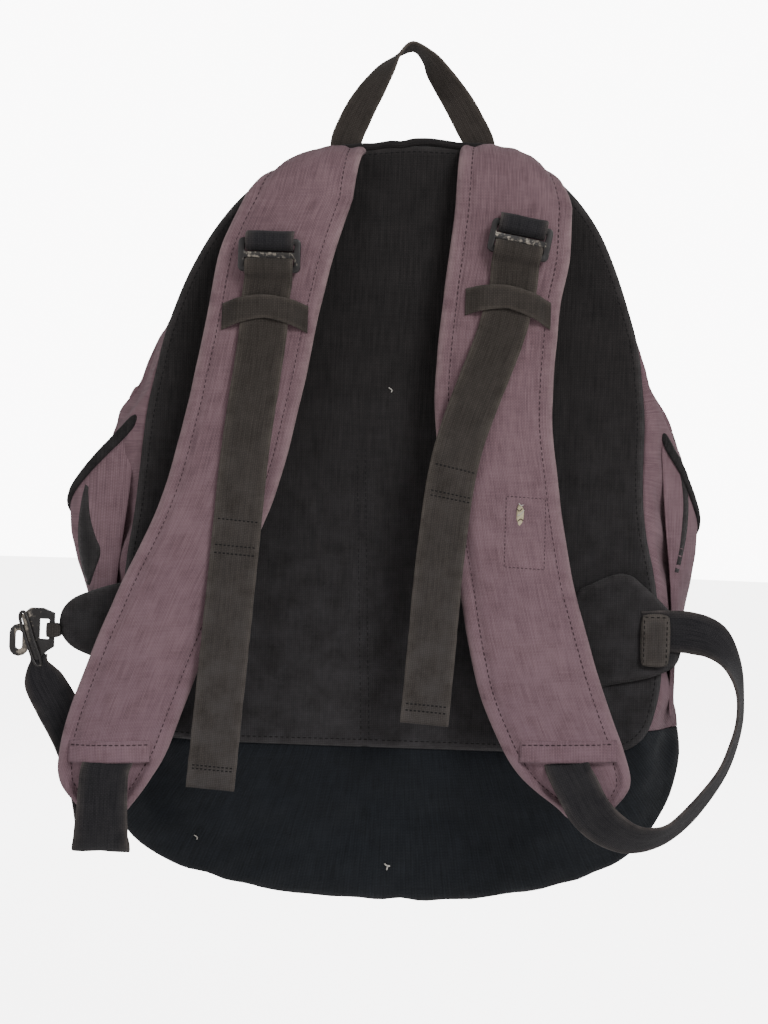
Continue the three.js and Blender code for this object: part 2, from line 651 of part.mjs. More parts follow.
function grabHandle() {
  const thick = 2;
  const leg = [[0, 0], [0.3, 0.05], [0.6, 0.35], [0.85, 0.75], [1, 1]];
  const crown = [-8, -5, 5, 8];
  const stations = [];
  const legStations = (side) => leg.map(([t, turn]) => {
    const x = side * lerp(HANDLE_FOOT, 12.5, t);
    const z = lerp(HANDLE_SEAM, -2.5, t);
    const angle = (turn * Math.PI) / 2;
    const along = v3(-side * Math.cos(angle), side * Math.sin(angle), 0);
    return { at: v3(x, HANDLE_Y - 4 * t, z), across: along.multiplyScalar(-side) };
  });
  stations.push(...legStations(-1));
  for (const x of crown) stations.push({ at: v3(x, 0, thick / 2), across: v3(0, -1, 0) });
  stations.push(...legStations(1).reverse());
  return ribbon(stations, HANDLE_WEBBING, thick);
}
const handle = new THREE.Group();
daypack.add(handle);
add(handle, "grab_handle", grabHandle(), olive);

export default daypack;
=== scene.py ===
"""The looks of a hanging daypack: cloth, padding, webbing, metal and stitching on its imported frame."""
import json
import math

import bmesh
import bpy
import numpy as np
from mathutils import Matrix, Vector, noise
from mathutils.bvhtree import BVHTree
from mathutils.geometry import delaunay_2d_cdt


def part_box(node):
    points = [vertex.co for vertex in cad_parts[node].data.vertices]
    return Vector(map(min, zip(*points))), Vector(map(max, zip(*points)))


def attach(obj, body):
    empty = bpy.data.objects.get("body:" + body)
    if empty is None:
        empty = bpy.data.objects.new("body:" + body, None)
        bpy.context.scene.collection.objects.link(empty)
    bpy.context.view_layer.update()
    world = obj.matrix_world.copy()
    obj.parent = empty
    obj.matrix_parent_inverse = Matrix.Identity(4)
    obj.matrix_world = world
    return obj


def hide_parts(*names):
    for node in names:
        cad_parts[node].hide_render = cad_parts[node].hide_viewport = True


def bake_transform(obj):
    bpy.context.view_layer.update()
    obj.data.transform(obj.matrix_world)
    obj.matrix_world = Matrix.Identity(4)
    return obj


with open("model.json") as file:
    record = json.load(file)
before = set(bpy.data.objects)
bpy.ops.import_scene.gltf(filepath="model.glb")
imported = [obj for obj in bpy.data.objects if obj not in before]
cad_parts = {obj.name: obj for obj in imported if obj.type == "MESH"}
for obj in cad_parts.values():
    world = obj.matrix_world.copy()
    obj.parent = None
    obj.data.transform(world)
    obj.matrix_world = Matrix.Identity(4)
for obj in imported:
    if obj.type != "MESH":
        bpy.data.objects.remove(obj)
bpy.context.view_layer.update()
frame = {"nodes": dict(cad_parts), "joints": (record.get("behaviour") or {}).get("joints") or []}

NODES = frame["nodes"]
MM = 0.001
SIDES = {"left": -1, "right": 1}

# ---- Driving sizes, in metres --------------------------------------------------------------------
WEBBING = 30 * MM
WEBBING_THICK = 1.8 * MM
HANDLE_WEBBING = 20 * MM
CLOTH = 1.4 * MM
EDGE_CHANNEL = 9 * MM  # from a strap's edge to its edge stitching
THREAD = 0.42 * MM
STITCH = 3.6 * MM  # one stitch and the space after it
ZIP_BAND = 8 * MM
WORN_EDGE = 6 * MM  # how far wear reaches in from a padded piece's edge


# ---- Camera, lights and floor --------------------------------------------------------------------
def look(location, target):
    """A rotation that points -Z from a location to a target."""
    return (Vector(target) - Vector(location)).to_track_quat("-Z", "Y").to_euler()


def add_camera():
    camera = bpy.data.objects.new("camera", bpy.data.cameras.new("camera"))
    bpy.context.scene.collection.objects.link(camera)
    camera.data.lens = 56.25
    camera.data.sensor_width = 36
    camera.data.clip_end = 60
    roll = Matrix.Rotation(math.radians(-2), 4, "Y")
    upright = Matrix.Rotation(math.radians(90), 4, "X")
    camera.matrix_world = Matrix.Translation((-0.0083, -1.035, -0.3006)) @ roll @ upright
    bpy.context.scene.camera = camera


def add_light(name, location, size, power, colour=(1, 1, 1)):
    lamp = bpy.data.lights.new(name, "AREA")
    lamp.size = size
    lamp.energy = power
    lamp.color = colour
    obj = bpy.data.objects.new(name, lamp)
    obj.location = location
    obj.rotation_euler = look(location, (0, 0, -0.3))
    bpy.context.scene.collection.objects.link(obj)


def add_studio():
    """A bright room all round: the picture sees it nearly white, and the cloth is lit by less of it."""
    world = bpy.data.worlds.new("studio")
    bpy.context.scene.world = world
    world.use_nodes = True
    background = world.node_tree.nodes["Background"]
    background.inputs["Color"].default_value = (1.0, 0.985, 0.985, 1)
    seen = world.node_tree.nodes.new("ShaderNodeLightPath")
    strength = world.node_tree.nodes.new("ShaderNodeMapRange")
    strength.inputs["To Min"].default_value = 0.42
    strength.inputs["To Max"].default_value = 10.0
    world.node_tree.links.new(seen.outputs["Is Camera Ray"], strength.inputs["Value"])
    world.node_tree.links.new(strength.outputs["Result"], background.inputs["Strength"])
    add_light("key", (1.2, -1.9, 1.1), 0.9, 48)
    add_light("fill", (-1.6, -1.6, 0.4), 1.5, 12)
    add_light("back", (1.3, 1.9, 0.9), 1.4, 40)
    add_light("back_fill", (-1.5, 1.6, 0.0), 1.6, 16)
    bpy.ops.mesh.primitive_circle_add(vertices=96, radius=14, fill_type="NGON")
    floor = bpy.context.object
    floor.name = "floor"
    floor.location = (0, 0, -0.82)
    graph = Graph("floor_pale")
    speckle = graph.noise(graph.object_coordinates(), 3.0)
    graph.set_colour(graph.mix(speckle, (0.86, 0.84, 0.84), (0.9, 0.885, 0.88)))
    graph.shader.inputs["Roughness"].default_value = 0.9
    graph.feed(graph.shader.inputs["Emission Color"], (1.0, 0.985, 0.985))
    seen = graph.node("ShaderNodeLightPath", {}, output="Is Camera Ray")
    graph.feed(graph.shader.inputs["Emission Strength"], graph.ramp(seen, 0.0, 1.0, 0.0, 5.5))
    floor.data.materials.append(graph.material)


# ---- Materials -----------------------------------------------------------------------------------
class Graph:
    """A material's node graph, built with one call for each node."""

    def __init__(self, name):
        self.material = bpy.data.materials.new(name)
        self.material.use_nodes = True
        self.tree = self.material.node_tree
        self.shader = self.tree.nodes["Principled BSDF"]

    def node(self, kind, inputs, output=0, **settings):
        node = self.tree.nodes.new(kind)
        for key, value in settings.items():
            setattr(node, key, value)
        for socket, value in inputs.items():
            self.feed(node.inputs[socket], value)
        return node.outputs[output]

    def feed(self, socket, value):
        if isinstance(value, bpy.types.NodeSocket):
            self.tree.links.new(value, socket)
        elif isinstance(value, tuple) and socket.type == "RGBA":
            socket.default_value = (*value, 1)
        else:
            socket.default_value = value

    def object_coordinates(self):
        return self.node("ShaderNodeTexCoord", {}, output="Object")

    def cloth_coordinates(self):
        return self.node("ShaderNodeUVMap", {}, uv_map="cloth")

    def attribute(self, name):
        return self.node("ShaderNodeAttribute", {}, output="Fac", attribute_name=name)

    def stretch(self, vector, x, y, z):
        inputs = {"Vector": vector, "Scale": (x, y, z)}
        return self.node("ShaderNodeMapping", inputs)

    def noise(self, vector, scale, detail=3.0, roughness=0.55):
        inputs = {"Vector": vector, "Scale": scale, "Detail": detail, "Roughness": roughness}
        return self.node("ShaderNodeTexNoise", inputs, output="Fac")

    def math(self, operation, a, b=0.0):
        return self.node("ShaderNodeMath", {0: a, 1: b}, operation=operation)

    def ramp(self, value, low, high, to_low=0.0, to_high=1.0):
        inputs = {"Value": value, "From Min": low, "From Max": high, "To Min": to_low, "To Max": to_high}
        return self.node("ShaderNodeMapRange", inputs, output="Result")

    def mix(self, factor, a, b):
        inputs = {"Factor": factor, 6: a, 7: b}
        return self.node("ShaderNodeMix", inputs, output=2, data_type="RGBA")

    def set_colour(self, colour):
        self.feed(self.shader.inputs["Base Color"], colour)

    def bump(self, height, distance, strength=1.0):
        inputs = {"Height": height, "Distance": distance, "Strength": strength}
        self.feed(self.shader.inputs["Normal"], self.node("ShaderNodeBump", inputs, output="Normal"))


def weave(graph, cloth, across, along):
    """Height of a plain weave, and which of its threads is on top."""
    parts = graph.node("ShaderNodeSeparateXYZ", {"Vector": cloth}, output="X")
    separate = parts.node
    u = graph.math("SINE", graph.math("MULTIPLY", separate.outputs["X"], math.pi / across))
    v = graph.math("SINE", graph.math("MULTIPLY", separate.outputs["Y"], math.pi / along))
    product = graph.math("MULTIPLY", u, v)
    height = graph.math("POWER", graph.math("ABSOLUTE", product), 0.5)
    return height, graph.ramp(product, -0.15, 0.15)


def cloth_material(name, dark, light, thread, slub=0.5, mottle=0.5, sheen=0.25, worn=None, faded=None):
    """Woven cloth: two thread colours, slubs along both ways, broad fading, fluff, and painted shade that
    darkens the low places of the weave. Where it is handled and set down, low on the pack, it fades to a last
    colour."""
    graph = Graph(name)
    cloth = graph.cloth_coordinates()
    height, on_top = weave(graph, cloth, thread, thread * 0.9)
    warp_slub = graph.noise(graph.stretch(cloth, 900, 45, 1), 1.0, 2.0)
    weft_slub = graph.noise(graph.stretch(cloth, 45, 900, 1), 1.0, 2.0)
    slubs = graph.math("ADD", warp_slub, graph.math("MULTIPLY", weft_slub, 0.35))
    broad = graph.noise(cloth, 14.0, 4.0, 0.6)
    patches = graph.noise(cloth, 70.0, 4.0, 0.65)
    factor = graph.math("MULTIPLY", graph.ramp(slubs, 0.42, 0.92), slub)
    factor = graph.math("ADD", factor, graph.math("MULTIPLY", graph.ramp(broad, 0.3, 0.7), mottle * 0.55))
    factor = graph.math("ADD", factor, graph.math("MULTIPLY", graph.ramp(patches, 0.3, 0.7), mottle * 0.45))
    factor = graph.math("ADD", factor, graph.math("MULTIPLY", on_top, 0.12))
    # painted shade: the weave's low places are darkened towards black, mixed in below
    shade = graph.ramp(height, 0.0, 0.8, 0.6, 1.0)
    colour = graph.mix(graph.ramp(factor, 0.15, 1.1), dark, light)
    if worn:
        wear = graph.math("MULTIPLY", graph.attribute("wear"), graph.ramp(patches, 0.25, 0.6))
        colour = graph.mix(wear, colour, worn)
    if faded:
        place = graph.object_coordinates()
        height_in_pack = graph.node("ShaderNodeSeparateXYZ", {"Vector": place}, output="Z")
        low = graph.ramp(height_in_pack, -0.20, -0.46, 0.0, 0.75)
        colour = graph.mix(graph.math("MULTIPLY", low, graph.ramp(patches, 0.2, 0.75)), colour, faded)
    # painted shade mixed into the colour: black where the weave is low
    colour = graph.mix(shade, (0.0, 0.0, 0.0), colour)
    graph.set_colour(colour)
    fluff = graph.noise(cloth, 1500.0, 2.0)
    surface = graph.math("ADD", graph.math("MULTIPLY", height, 0.7), graph.math("MULTIPLY", fluff, 0.5))
    surface = graph.math("ADD", surface, graph.math("MULTIPLY", slubs, 0.5))
    graph.bump(surface, 0.35 * MM, 0.8)
    graph.shader.inputs["Roughness"].default_value = 0.9
    graph.shader.inputs["Specular IOR Level"].default_value = 0.15
    graph.shader.inputs["Sheen Weight"].default_value = sheen
    graph.shader.inputs["Sheen Roughness"].default_value = 0.5
    return graph.material


def worn_metal(name, paint, bare):
    """Dark paint, chipped here and there and rubbed to bare metal where its wear value is high."""
    graph = Graph(name)
    place = graph.object_coordinates()
    edges = graph.node("ShaderNodeNewGeometry", {}, output="Pointiness")
    chips = graph.noise(place, 420.0, 4.0, 0.7)
    rub = graph.math("ADD", graph.ramp(edges, 0.53, 0.62), graph.ramp(chips, 0.5, 0.75))
    rub = graph.math("ADD", rub, graph.math("MULTIPLY", graph.attribute("wear"), 1.1))
    bareness = graph.ramp(rub, 0.75, 1.35)
    graph.set_colour(graph.mix(bareness, paint, bare))
    graph.feed(graph.shader.inputs["Metallic"], graph.ramp(bareness, 0.0, 1.0, 0.1, 0.9))
    graph.feed(graph.shader.inputs["Roughness"], graph.ramp(chips, 0.3, 0.7, 0.3, 0.5))
    graph.bump(graph.math("ADD", chips, graph.math("MULTIPLY", bareness, -0.4)), 0.12 * MM, 0.6)
    return graph.material


def plain_plastic(name, colour, light, roughness):
    """Moulded nylon with faint scuffs."""
    graph = Graph(name)
    place = graph.object_coordinates()
    scuffs = graph.noise(graph.stretch(place, 1.0, 1.0, 6.0), 320.0, 4.0, 0.7)
    graph.set_colour(graph.mix(graph.ramp(scuffs, 0.4, 0.75), colour, light))
    graph.feed(graph.shader.inputs["Roughness"], graph.ramp(scuffs, 0.3, 0.7, roughness, roughness + 0.2))
    graph.bump(scuffs, 0.1 * MM, 0.4)
    return graph.material


def foam_material():
    graph = Graph("foam_cells")
    place = graph.object_coordinates()
    cells = graph.node("ShaderNodeTexVoronoi", {"Vector": place, "Scale": 900.0}, output="Distance")
    stains = graph.noise(place, 120.0, 4.0)
    graph.set_colour(graph.mix(stains, (0.32, 0.27, 0.16), (0.6, 0.53, 0.36)))
    graph.bump(cells, 0.3 * MM)
    graph.shader.inputs["Roughness"].default_value = 0.95
    return graph.material


def make_materials():
    return {
        "canvas": cloth_material(
            "canvas_mauve", (0.098, 0.054, 0.066), (0.250, 0.160, 0.178), 1.0 * MM, 0.5, 0.65, 0.06,
            (0.36, 0.26, 0.26), (0.205, 0.130, 0.158)),
        "black": cloth_material(
            "cloth_black", (0.0075, 0.0070, 0.0072), (0.026, 0.023, 0.023), 1.3 * MM, 0.7, 0.5, 0.05,
            (0.045, 0.04, 0.04), (0.052, 0.050, 0.054)),
        "base": cloth_material(
            "cloth_base", (0.0032, 0.0045, 0.0062), (0.014, 0.017, 0.022), 1.3 * MM, 0.6, 0.5, 0.06,
            (0.035, 0.035, 0.04)),
        "webbing": cloth_material(
            "webbing_olive", (0.020, 0.0165, 0.014), (0.060, 0.051, 0.045), 1.2 * MM, 0.5, 0.55, 0.04,
            (0.10, 0.085, 0.072), (0.070, 0.064, 0.064)),
        "webbing_blue": cloth_material(
            "webbing_blue_black", (0.0085, 0.0083, 0.0105), (0.036, 0.034, 0.036), 1.2 * MM, 0.5, 0.5, 0.05,
            (0.10, 0.085, 0.078)),
        "metal": worn_metal("metal_worn", (0.016, 0.014, 0.014), (0.34, 0.30, 0.25)),
        "zip": plain_plastic("zip_nylon", (0.010, 0.010, 0.011), (0.03, 0.03, 0.032), 0.35),
        "mauve_thread": cloth_material(
            "thread_mauve", (0.040, 0.023, 0.029), (0.095, 0.060, 0.068), 0.5 * MM, 0.3, 0.4, 0.03),
        "dark_thread": cloth_material(
            "thread_dark", (0.006, 0.006, 0.007), (0.026, 0.024, 0.022), 0.5 * MM, 0.3, 0.4, 0.03),
        "foam": foam_material(),
        "lint": cloth_material("lint_white", (0.5, 0.47, 0.42), (0.8, 0.77, 0.7), 0.4 * MM),
    }


# ---- Mesh helpers --------------------------------------------------------------------------------
def make_object(name, points, faces, uvs, material, wear=None):
    """A smooth mesh object with a uv map in metres and a wear value at each point."""
    mesh = bpy.data.meshes.new(name)
    mesh.from_pydata([tuple(p) for p in points], [], faces)
    layer = mesh.uv_layers.new(name="cloth")
    corners = np.empty(len(mesh.loops), np.int32)
    mesh.loops.foreach_get("vertex_index", corners)
    layer.data.foreach_set("uv", np.asarray(uvs, np.float32)[corners].ravel())
    if wear is not None:
        attribute = mesh.attributes.new("wear", "FLOAT", "POINT")
        attribute.data.foreach_set("value", np.asarray(wear, np.float32))
    obj = bpy.data.objects.new(name, mesh)
    bpy.context.scene.collection.objects.link(obj)
    mesh.materials.append(material)
    return finish_normals(obj)


def finish_normals(obj):
    """Faces that point out and shade smoothly."""
    edit = bmesh.new()
    edit.from_mesh(obj.data)
    bmesh.ops.recalc_face_normals(edit, faces=edit.faces)
    edit.to_mesh(obj.data)
    edit.free()
    smooth = np.ones(len(obj.data.polygons), bool)
    obj.data.polygons.foreach_set("use_smooth", smooth)
    return obj


def apply_modifiers(obj):
    """Makes the mesh what its modifiers show."""
    graph = bpy.context.evaluated_depsgraph_get()
    mesh = bpy.data.meshes.new_from_object(obj.evaluated_get(graph))
    obj.modifiers.clear()
    obj.data = mesh
    return obj


def thick_sheet(name, front, back, uvs, material, wear=None):
    """A closed solid between two grids of points, rows by columns, joined round their edge."""
    rows, columns = front.shape[:2]
    points = np.concatenate([front.reshape(-1, 3), back.reshape(-1, 3)])
    other = rows * columns
    faces = []
    for r in range(rows - 1):
        for c in range(columns - 1):
            a = r * columns + c
            faces.append((a, a + 1, a + 1 + columns, a + columns))
            faces.append((other + a + columns, other + a + 1 + columns, other + a + 1, other + a))
    rim = [c for c in range(columns)]
    rim += [r * columns + columns - 1 for r in range(1, rows)]
    rim += [(rows - 1) * columns + c for c in range(columns - 2, -1, -1)]
    rim += [r * columns for r in range(rows - 2, 0, -1)]
    for a, b in zip(rim, rim[1:] + rim[:1]):
        faces.append((b, a, other + a, other + b))
    flat = np.asarray(uvs, float).reshape(-1, 2)
    if wear is not None:
        wear = np.concatenate([np.ravel(wear), np.ravel(wear)])
    return make_object(name, points, faces, np.concatenate([flat, flat]), material, wear)


def smooth_line(points, step, closed=False):
    """Points every step along a smooth curve through rows of numbers, whose first three are a place."""
    points = np.asarray(points, float)
    count = len(points)
    spans = count if closed else count - 1
    dense = []
    for i in range(spans):
        picks = [i - 1, i, i + 1, i + 2]
        picks = [k % count if closed else min(max(k, 0), count - 1) for k in picks]
        p0, p1, p2, p3 = points[picks]
        for t in np.linspace(0, 1, 24, endpoint=False):
            dense.append(0.5 * (2 * p1 + (p2 - p0) * t + (2 * p0 - 5 * p1 + 4 * p2 - p3) * t**2
                                + (3 * p1 - p0 - 3 * p2 + p3) * t**3))
    dense.append(points[0] if closed else points[-1])
    dense = np.array(dense)
    distance = np.concatenate([[0], np.cumsum(np.linalg.norm(np.diff(dense[:, :3], axis=0), axis=1))])
    samples = max(int(round(distance[-1] / step)), 2)
    wanted = np.linspace(0, distance[-1], samples + 1)
    if closed:
        wanted = wanted[:-1]
    return np.stack([np.interp(wanted, distance, dense[:, k]) for k in range(dense.shape[1])], 1)


def unit(vectors):
    return vectors / np.maximum(np.linalg.norm(vectors, axis=-1, keepdims=True), 1e-12)


def wobble(x, y, z, scale, seed=0.0):
    """Smooth noise from -1 to 1 at a place, with features of about the size of scale."""
    return noise.noise(Vector((x / scale + seed, y / scale - seed, z / scale + 2 * seed)))


def webbing(name, route, width, thickness, material, waver=0.4 * MM):
    """Flat webbing along a route of rows: x, y, z, the direction of its width, and the share of its
    width if it is gathered."""
    line = smooth_line(route, 2.5 * MM)
    gather = line[:, 6] if line.shape[1] > 6 else np.ones(len(line))
    place = line[:, :3]
    along = unit(np.gradient(place, axis=0))
    across = line[:, 3:6] - along * np.sum(line[:, 3:6] * along, axis=1, keepdims=True)
    across = unit(across)
    out = unit(np.cross(along, across))
    distance = np.concatenate([[0], np.cumsum(np.linalg.norm(np.diff(place, axis=0), axis=1))])
    shares = np.array([-1, -0.985, -0.94, -0.86, -0.6, -0.3, 0, 0.3, 0.6, 0.86, 0.94, 0.985, 1])
    half = thickness / 2 * np.array([0.15, 0.6, 0.95, 1.12, 1, 1, 1, 1, 1, 1.12, 0.95, 0.6, 0.15])
    front, back, uvs, wear = [], [], [], []
    for i, middle in enumerate(place):
        edge = 1 + 0.5 * MM / width * wobble(0, 0, distance[i], 9 * MM, 3.1)
        for share, h in zip(shares, half):
            a = share * width / 2 * edge * gather[i]
            lift = waver * wobble(a * 3, 0, distance[i], 22 * MM, 1.7)
            end = min(distance[i], distance[-1] - distance[i])
            round_off = min(1, 0.35 + end / (1.2 * MM))
            base = middle + across[i] * a + out[i] * lift
            front.append(base - out[i] * h * round_off)
            back.append(base + out[i] * h * round_off)
            uvs.append((a, distance[i]))
            wear.append(max(0, abs(share) - 0.8) * 4)
    shape = (len(place), len(shares), 3)
    return thick_sheet(name, np.array(front).reshape(shape), np.array(back).reshape(shape), uvs,
                       material, wear)


def tube(name, route, radius, material, closed=False, sides=10, flat=1.0):
    """A round or flattened bar along a smooth line."""
    place = smooth_line(route, radius * 1.2, closed)
    if closed:
        along = unit(np.roll(place, -1, 0) - np.roll(place, 1, 0))
    else:
        along = unit(np.gradient(place, axis=0))
    out = np.cross(along, np.array([0.12, 1.0, 0.08]))
    out = unit(out)
    other = unit(np.cross(along, out))
    points, uvs = [], []
    for i, middle in enumerate(place):
        for k in range(sides):
            angle = 2 * math.pi * k / sides
            points.append(middle + radius * (out[i] * math.cos(angle) + flat * other[i] * math.sin(angle)))
            uvs.append((k / sides * 2 * math.pi * radius, i * radius * 1.2))
    faces = []
    rings = len(place) if closed else len(place) - 1
    for r in range(rings):
        start, after = r * sides, ((r + 1) % len(place)) * sides
        for k in range(sides):
            j = (k + 1) % sides
            faces.append((start + k, start + j, after + j, after + k))
    if not closed:
        faces.append(tuple(range(sides))[::-1])
        faces.append(tuple(range((len(place) - 1) * sides, len(place) * sides)))
    return make_object(name, points, faces, uvs, material)


def rounded_outline(outline, step):
    """A closed outline with its corners rounded and points every step."""
    points = np.array([(x, 0, z) for x, z in outline], float)
    after = np.roll(points, -1, 0)
    points = np.stack([points * 0.75 + after * 0.25, points * 0.25 + after * 0.75], 1).reshape(-1, 3)
    line = smooth_line(points, step, closed=True)
    return line[:, [0, 2]]


def block_outline(low, high, cut, step):
    """The outline in X and Z of a rectangle with rounded corners."""
    outline = []
    for x, z, sx, sz in ((low.x, low.z, 1, 1), (high.x, low.z, -1, 1), (high.x, high.z, -1, -1),
                         (low.x, high.z, 1, -1)):
        ends = [(x, z + sz * cut), (x + sx * cut, z)]
        outline += ends if sx * sz > 0 else ends[::-1]
    return rounded_outline(outline, step)


def edge_distance(points, outline):
    """Distance of each point from a closed outline."""
    start = outline[None]
    edge = np.roll(outline, -1, 0)[None] - start
    away = points[:, None] - start
    t = np.clip(np.sum(away * edge, 2) / np.maximum(np.sum(edge**2, 2), 1e-14), 0, 1)
    return np.linalg.norm(away - t[..., None] * edge, axis=2).min(1)


def pillow(name, outline, front, back, spacing, material):
    """A closed padded shape over an outline in X and Z. front and back give Y from x, z and the
    distance to the edge, and meet at the edge."""
    rim = [Vector(p) for p in outline]
    low, high = outline.min(0), outline.max(0)
    inner = []
    rows = int((high[1] - low[1]) / (spacing * 0.866)) + 1
    for r in range(rows):
        z = low[1] + r * spacing * 0.866
        x = low[0] + (r % 2) * spacing / 2
        while x < high[0]:
            inner.append((x, z))
            x += spacing
    inner = np.array(inner)
    inner = inner[edge_distance(inner, outline) > spacing * 0.5]
    points = rim + [Vector(p) for p in inner]
    edges = [(i, (i + 1) % len(rim)) for i in range(len(rim))]
    flat, _, triangles, *_ = delaunay_2d_cdt(points, edges, [], 1, 1e-7)
    flat = np.array([tuple(p) for p in flat])
    count = len(flat)
    distance = edge_distance(flat, outline)
    on_edge = distance < spacing * 0.05
    near = np.array([front(x, z, d) for (x, z), d in zip(flat, distance)])
    far = np.array([back(x, z, d) for (x, z), d in zip(flat, distance)])
    twin = {}
    places = [(x, y, z) for (x, z), y in zip(flat, near)]
    for i in range(count):
        if on_edge[i]:
            twin[i] = i
        else:
            twin[i] = len(places)
            places.append((flat[i][0], far[i], flat[i][1]))
    used = set(i for face in triangles for i in face)
    faces = [tuple(face) for face in triangles]
    faces += [tuple(twin[i] for i in reversed(face)) for face in triangles]
    index = sorted(used | set(twin[i] for i in used))
    order = {old: new for new, old in enumerate(index)}
    source = {twin[i]: i for i in range(count)}
    source.update({i: i for i in range(count)})
    uvs = [tuple(flat[source[i]]) for i in index]
    wear = [max(0.0, 1 - distance[source[i]] / WORN_EDGE) for i in index]
    return make_object(name, [places[i] for i in index], [tuple(order[i] for i in f) for f in faces], uvs,
                       material, wear)


def edge_roll(d, radius):
    """0 at an edge, rising to 1 like a quarter round at a distance of radius."""
    t = min(max(d / radius, 0.0), 1.0)
    return math.sqrt(max(0.0, 1 - (1 - t) ** 2))


def ease(t):
    t = min(max(t, 0.0), 1.0)
    return t * t * (3 - 2 * t)


def refined(node, material, bevel):
    """A finer copy of a hard CAD node, with its edges rounded."""
    source = NODES[node]
    obj = bpy.data.objects.new(f"{node}_fine", source.data.copy())
    bpy.context.scene.collection.objects.link(obj)
    edit = bmesh.new()
    edit.from_mesh(obj.data)
    bmesh.ops.remove_doubles(edit, verts=edit.verts, dist=1e-6)
    bmesh.ops.dissolve_limit(edit, angle_limit=math.radians(1), verts=edit.verts, edges=edit.edges)
    edit.to_mesh(obj.data)
    edit.free()
    obj.data.materials.clear()
    obj.data.materials.append(material)
    rounding = obj.modifiers.new("round", "BEVEL")
    rounding.width = bevel
    rounding.segments = 3
    rounding.limit_method = "ANGLE"
    rounding.angle_limit = math.radians(25)
    apply_modifiers(obj)
    finish_normals(obj)
    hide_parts(node)
    return obj


def vertices_of(node):
    mesh = NODES[node].data
    numbers = np.empty(len(mesh.vertices) * 3, np.float32)
    mesh.vertices.foreach_get("co", numbers)
    return numbers.reshape(-1, 3).astype(float)


def tree_of(*nodes):
    """A search tree over the faces of CAD nodes."""
    points, faces = [], []
    for node in nodes:
        start = len(points)
        points += [tuple(p) for p in vertices_of(node)]
        faces += [tuple(start + i for i in face.vertices) for face in NODES[node].data.polygons]
    return BVHTree.FromPolygons(points, faces)


def tree_of_piece(obj):
    points = [tuple(v.co) for v in obj.data.vertices]
    faces = [tuple(face.vertices) for face in obj.data.polygons]
    return BVHTree.FromPolygons(points, faces)


def front_point(tree, x, z, side=-1):
    """Where a surface is first met from its -Y side, or from its +Y side."""
    place, normal, _, _ = tree.ray_cast(Vector((x, side * 0.4, z)), Vector((0, -side, 0)))
    return place, normal


# ---- Stitching -----------------------------------------------------------------------------------
class Stitching:
    """Rows of short thread stitches, gathered into one piece."""

    def __init__(self):
        self.points, self.faces, self.uvs = [], [], []

    def add(self, start, end, normal, radius=THREAD):
        along = end - start
        length = np.linalg.norm(along)
        along = along / length
        side = unit(np.cross(along, normal))
        top = np.cross(side, along)
        first = len(self.points)
        for t, size in ((0, 0.35), (0.18, 0.9), (0.5, 1), (0.82, 0.9), (1, 0.35)):
            middle = start + along * length * t - top * radius * (0.9 if t in (0, 1) else 0.25)
            for k in range(5):
                angle = 2 * math.pi * k / 5
                offset = side * math.cos(angle) + top * math.sin(angle)
                self.points.append(middle + offset * radius * size)
                self.uvs.append((k * radius, length * t))
        for ring in range(4):
            for k in range(5):
                a, b = first + ring * 5 + k, first + ring * 5 + (k + 1) % 5
                self.faces.append((a, b, b + 5, a + 5))
        self.faces.append(tuple(first + k for k in range(4, -1, -1)))
        self.faces.append(tuple(first + 20 + k for k in range(5)))

    def row(self, places, normals, pitch=STITCH, radius=THREAD):
        """Stitches along a line of places on a surface with normals there."""
        line = np.concatenate([np.asarray(places, float), np.asarray(normals, float)], 1)
        marks = smooth_line(line, pitch / 4)
        for i in range(0, len(marks) - 3, 4):
            start, end = marks[i][:3], marks[i + 3][:3]
            self.add(start, end, unit(marks[i + 1][3:6]), radius)

    def on_tree(self, tree, flat, side=-1, pitch=STITCH, radius=THREAD):
        """Stitches along an (x, z) line, laid on a surface."""
        line = smooth_line([(x, 0, z) for x, z in flat], pitch)
        places, normals = [], []
        for x, _, z in line:
            place, normal = front_point(tree, x, z, side)
            if place is not None:
                places.append(tuple(place))
                normals.append(tuple(normal))
        if len(places) > 2:
            self.row(places, normals, pitch, radius)

    def finish(self, name, material, body):
        obj = make_object(name, self.points, self.faces, self.uvs, material)
        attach(obj, body)
        return obj


# ---- The bag's shell -----------------------------------------------------------------------------
AXIS_Z = -0.26  # height of the outline's centre
SHELL_MIDDLE = Vector((0, 0.045, AXIS_Z))
SHELL = ("side_panel_left", "side_panel_right", "base_panel", "front_panel")
zip_joint = next(joint for joint in frame["joints"] if joint["name"] == "zip_right_slide")
ZIP_CENTRE = Vector(zip_joint["pos_m"])
ZIP_NORMAL = Vector(zip_joint["axis"]).normalized()
SEAM_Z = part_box("base_panel")[1].z
ZIP_RADIUS = 160 * MM
ZIP_END = -0.405
AROUND = 160
SLUMP_FRAMES = 22
MOST_SLUMP = 8 * MM  # the furthest that the simulation may move a point


def zip_y(z):
    """Depth of the zip's plane at a height."""
    return ZIP_CENTRE.y + (ZIP_CENTRE.z - z) * ZIP_NORMAL.z / ZIP_NORMAL.y


def blur(values, sigma, axis, around=False):
    """A Gaussian blur along one axis, joined at its ends or holding them."""
    reach = int(math.ceil(3 * sigma))
    weights = np.exp(-0.5 * (np.arange(-reach, reach + 1) / sigma) ** 2)
    weights /= weights.sum()
    pad = [(0, 0)] * values.ndim
    pad[axis] = (reach, reach)
    padded = np.pad(values, pad, mode="wrap" if around else "edge")
    return np.apply_along_axis(lambda line: np.convolve(line, weights, "valid"), axis, padded)


def zip_distance(x, y, z):
    """Roughly how far a place on the shell is from the main zip."""
    return abs(y - zip_y(z)) + max(0.0, 0.12 - math.hypot(x, z - ZIP_CENTRE.z))


def shoulder_lift(x, z):
    """How much higher the right shoulder hangs than the pattern, and the left one lower."""
    return 4 * MM * min(max(x / 0.08, -1), 1) * ease((z + 0.17) / 0.06)


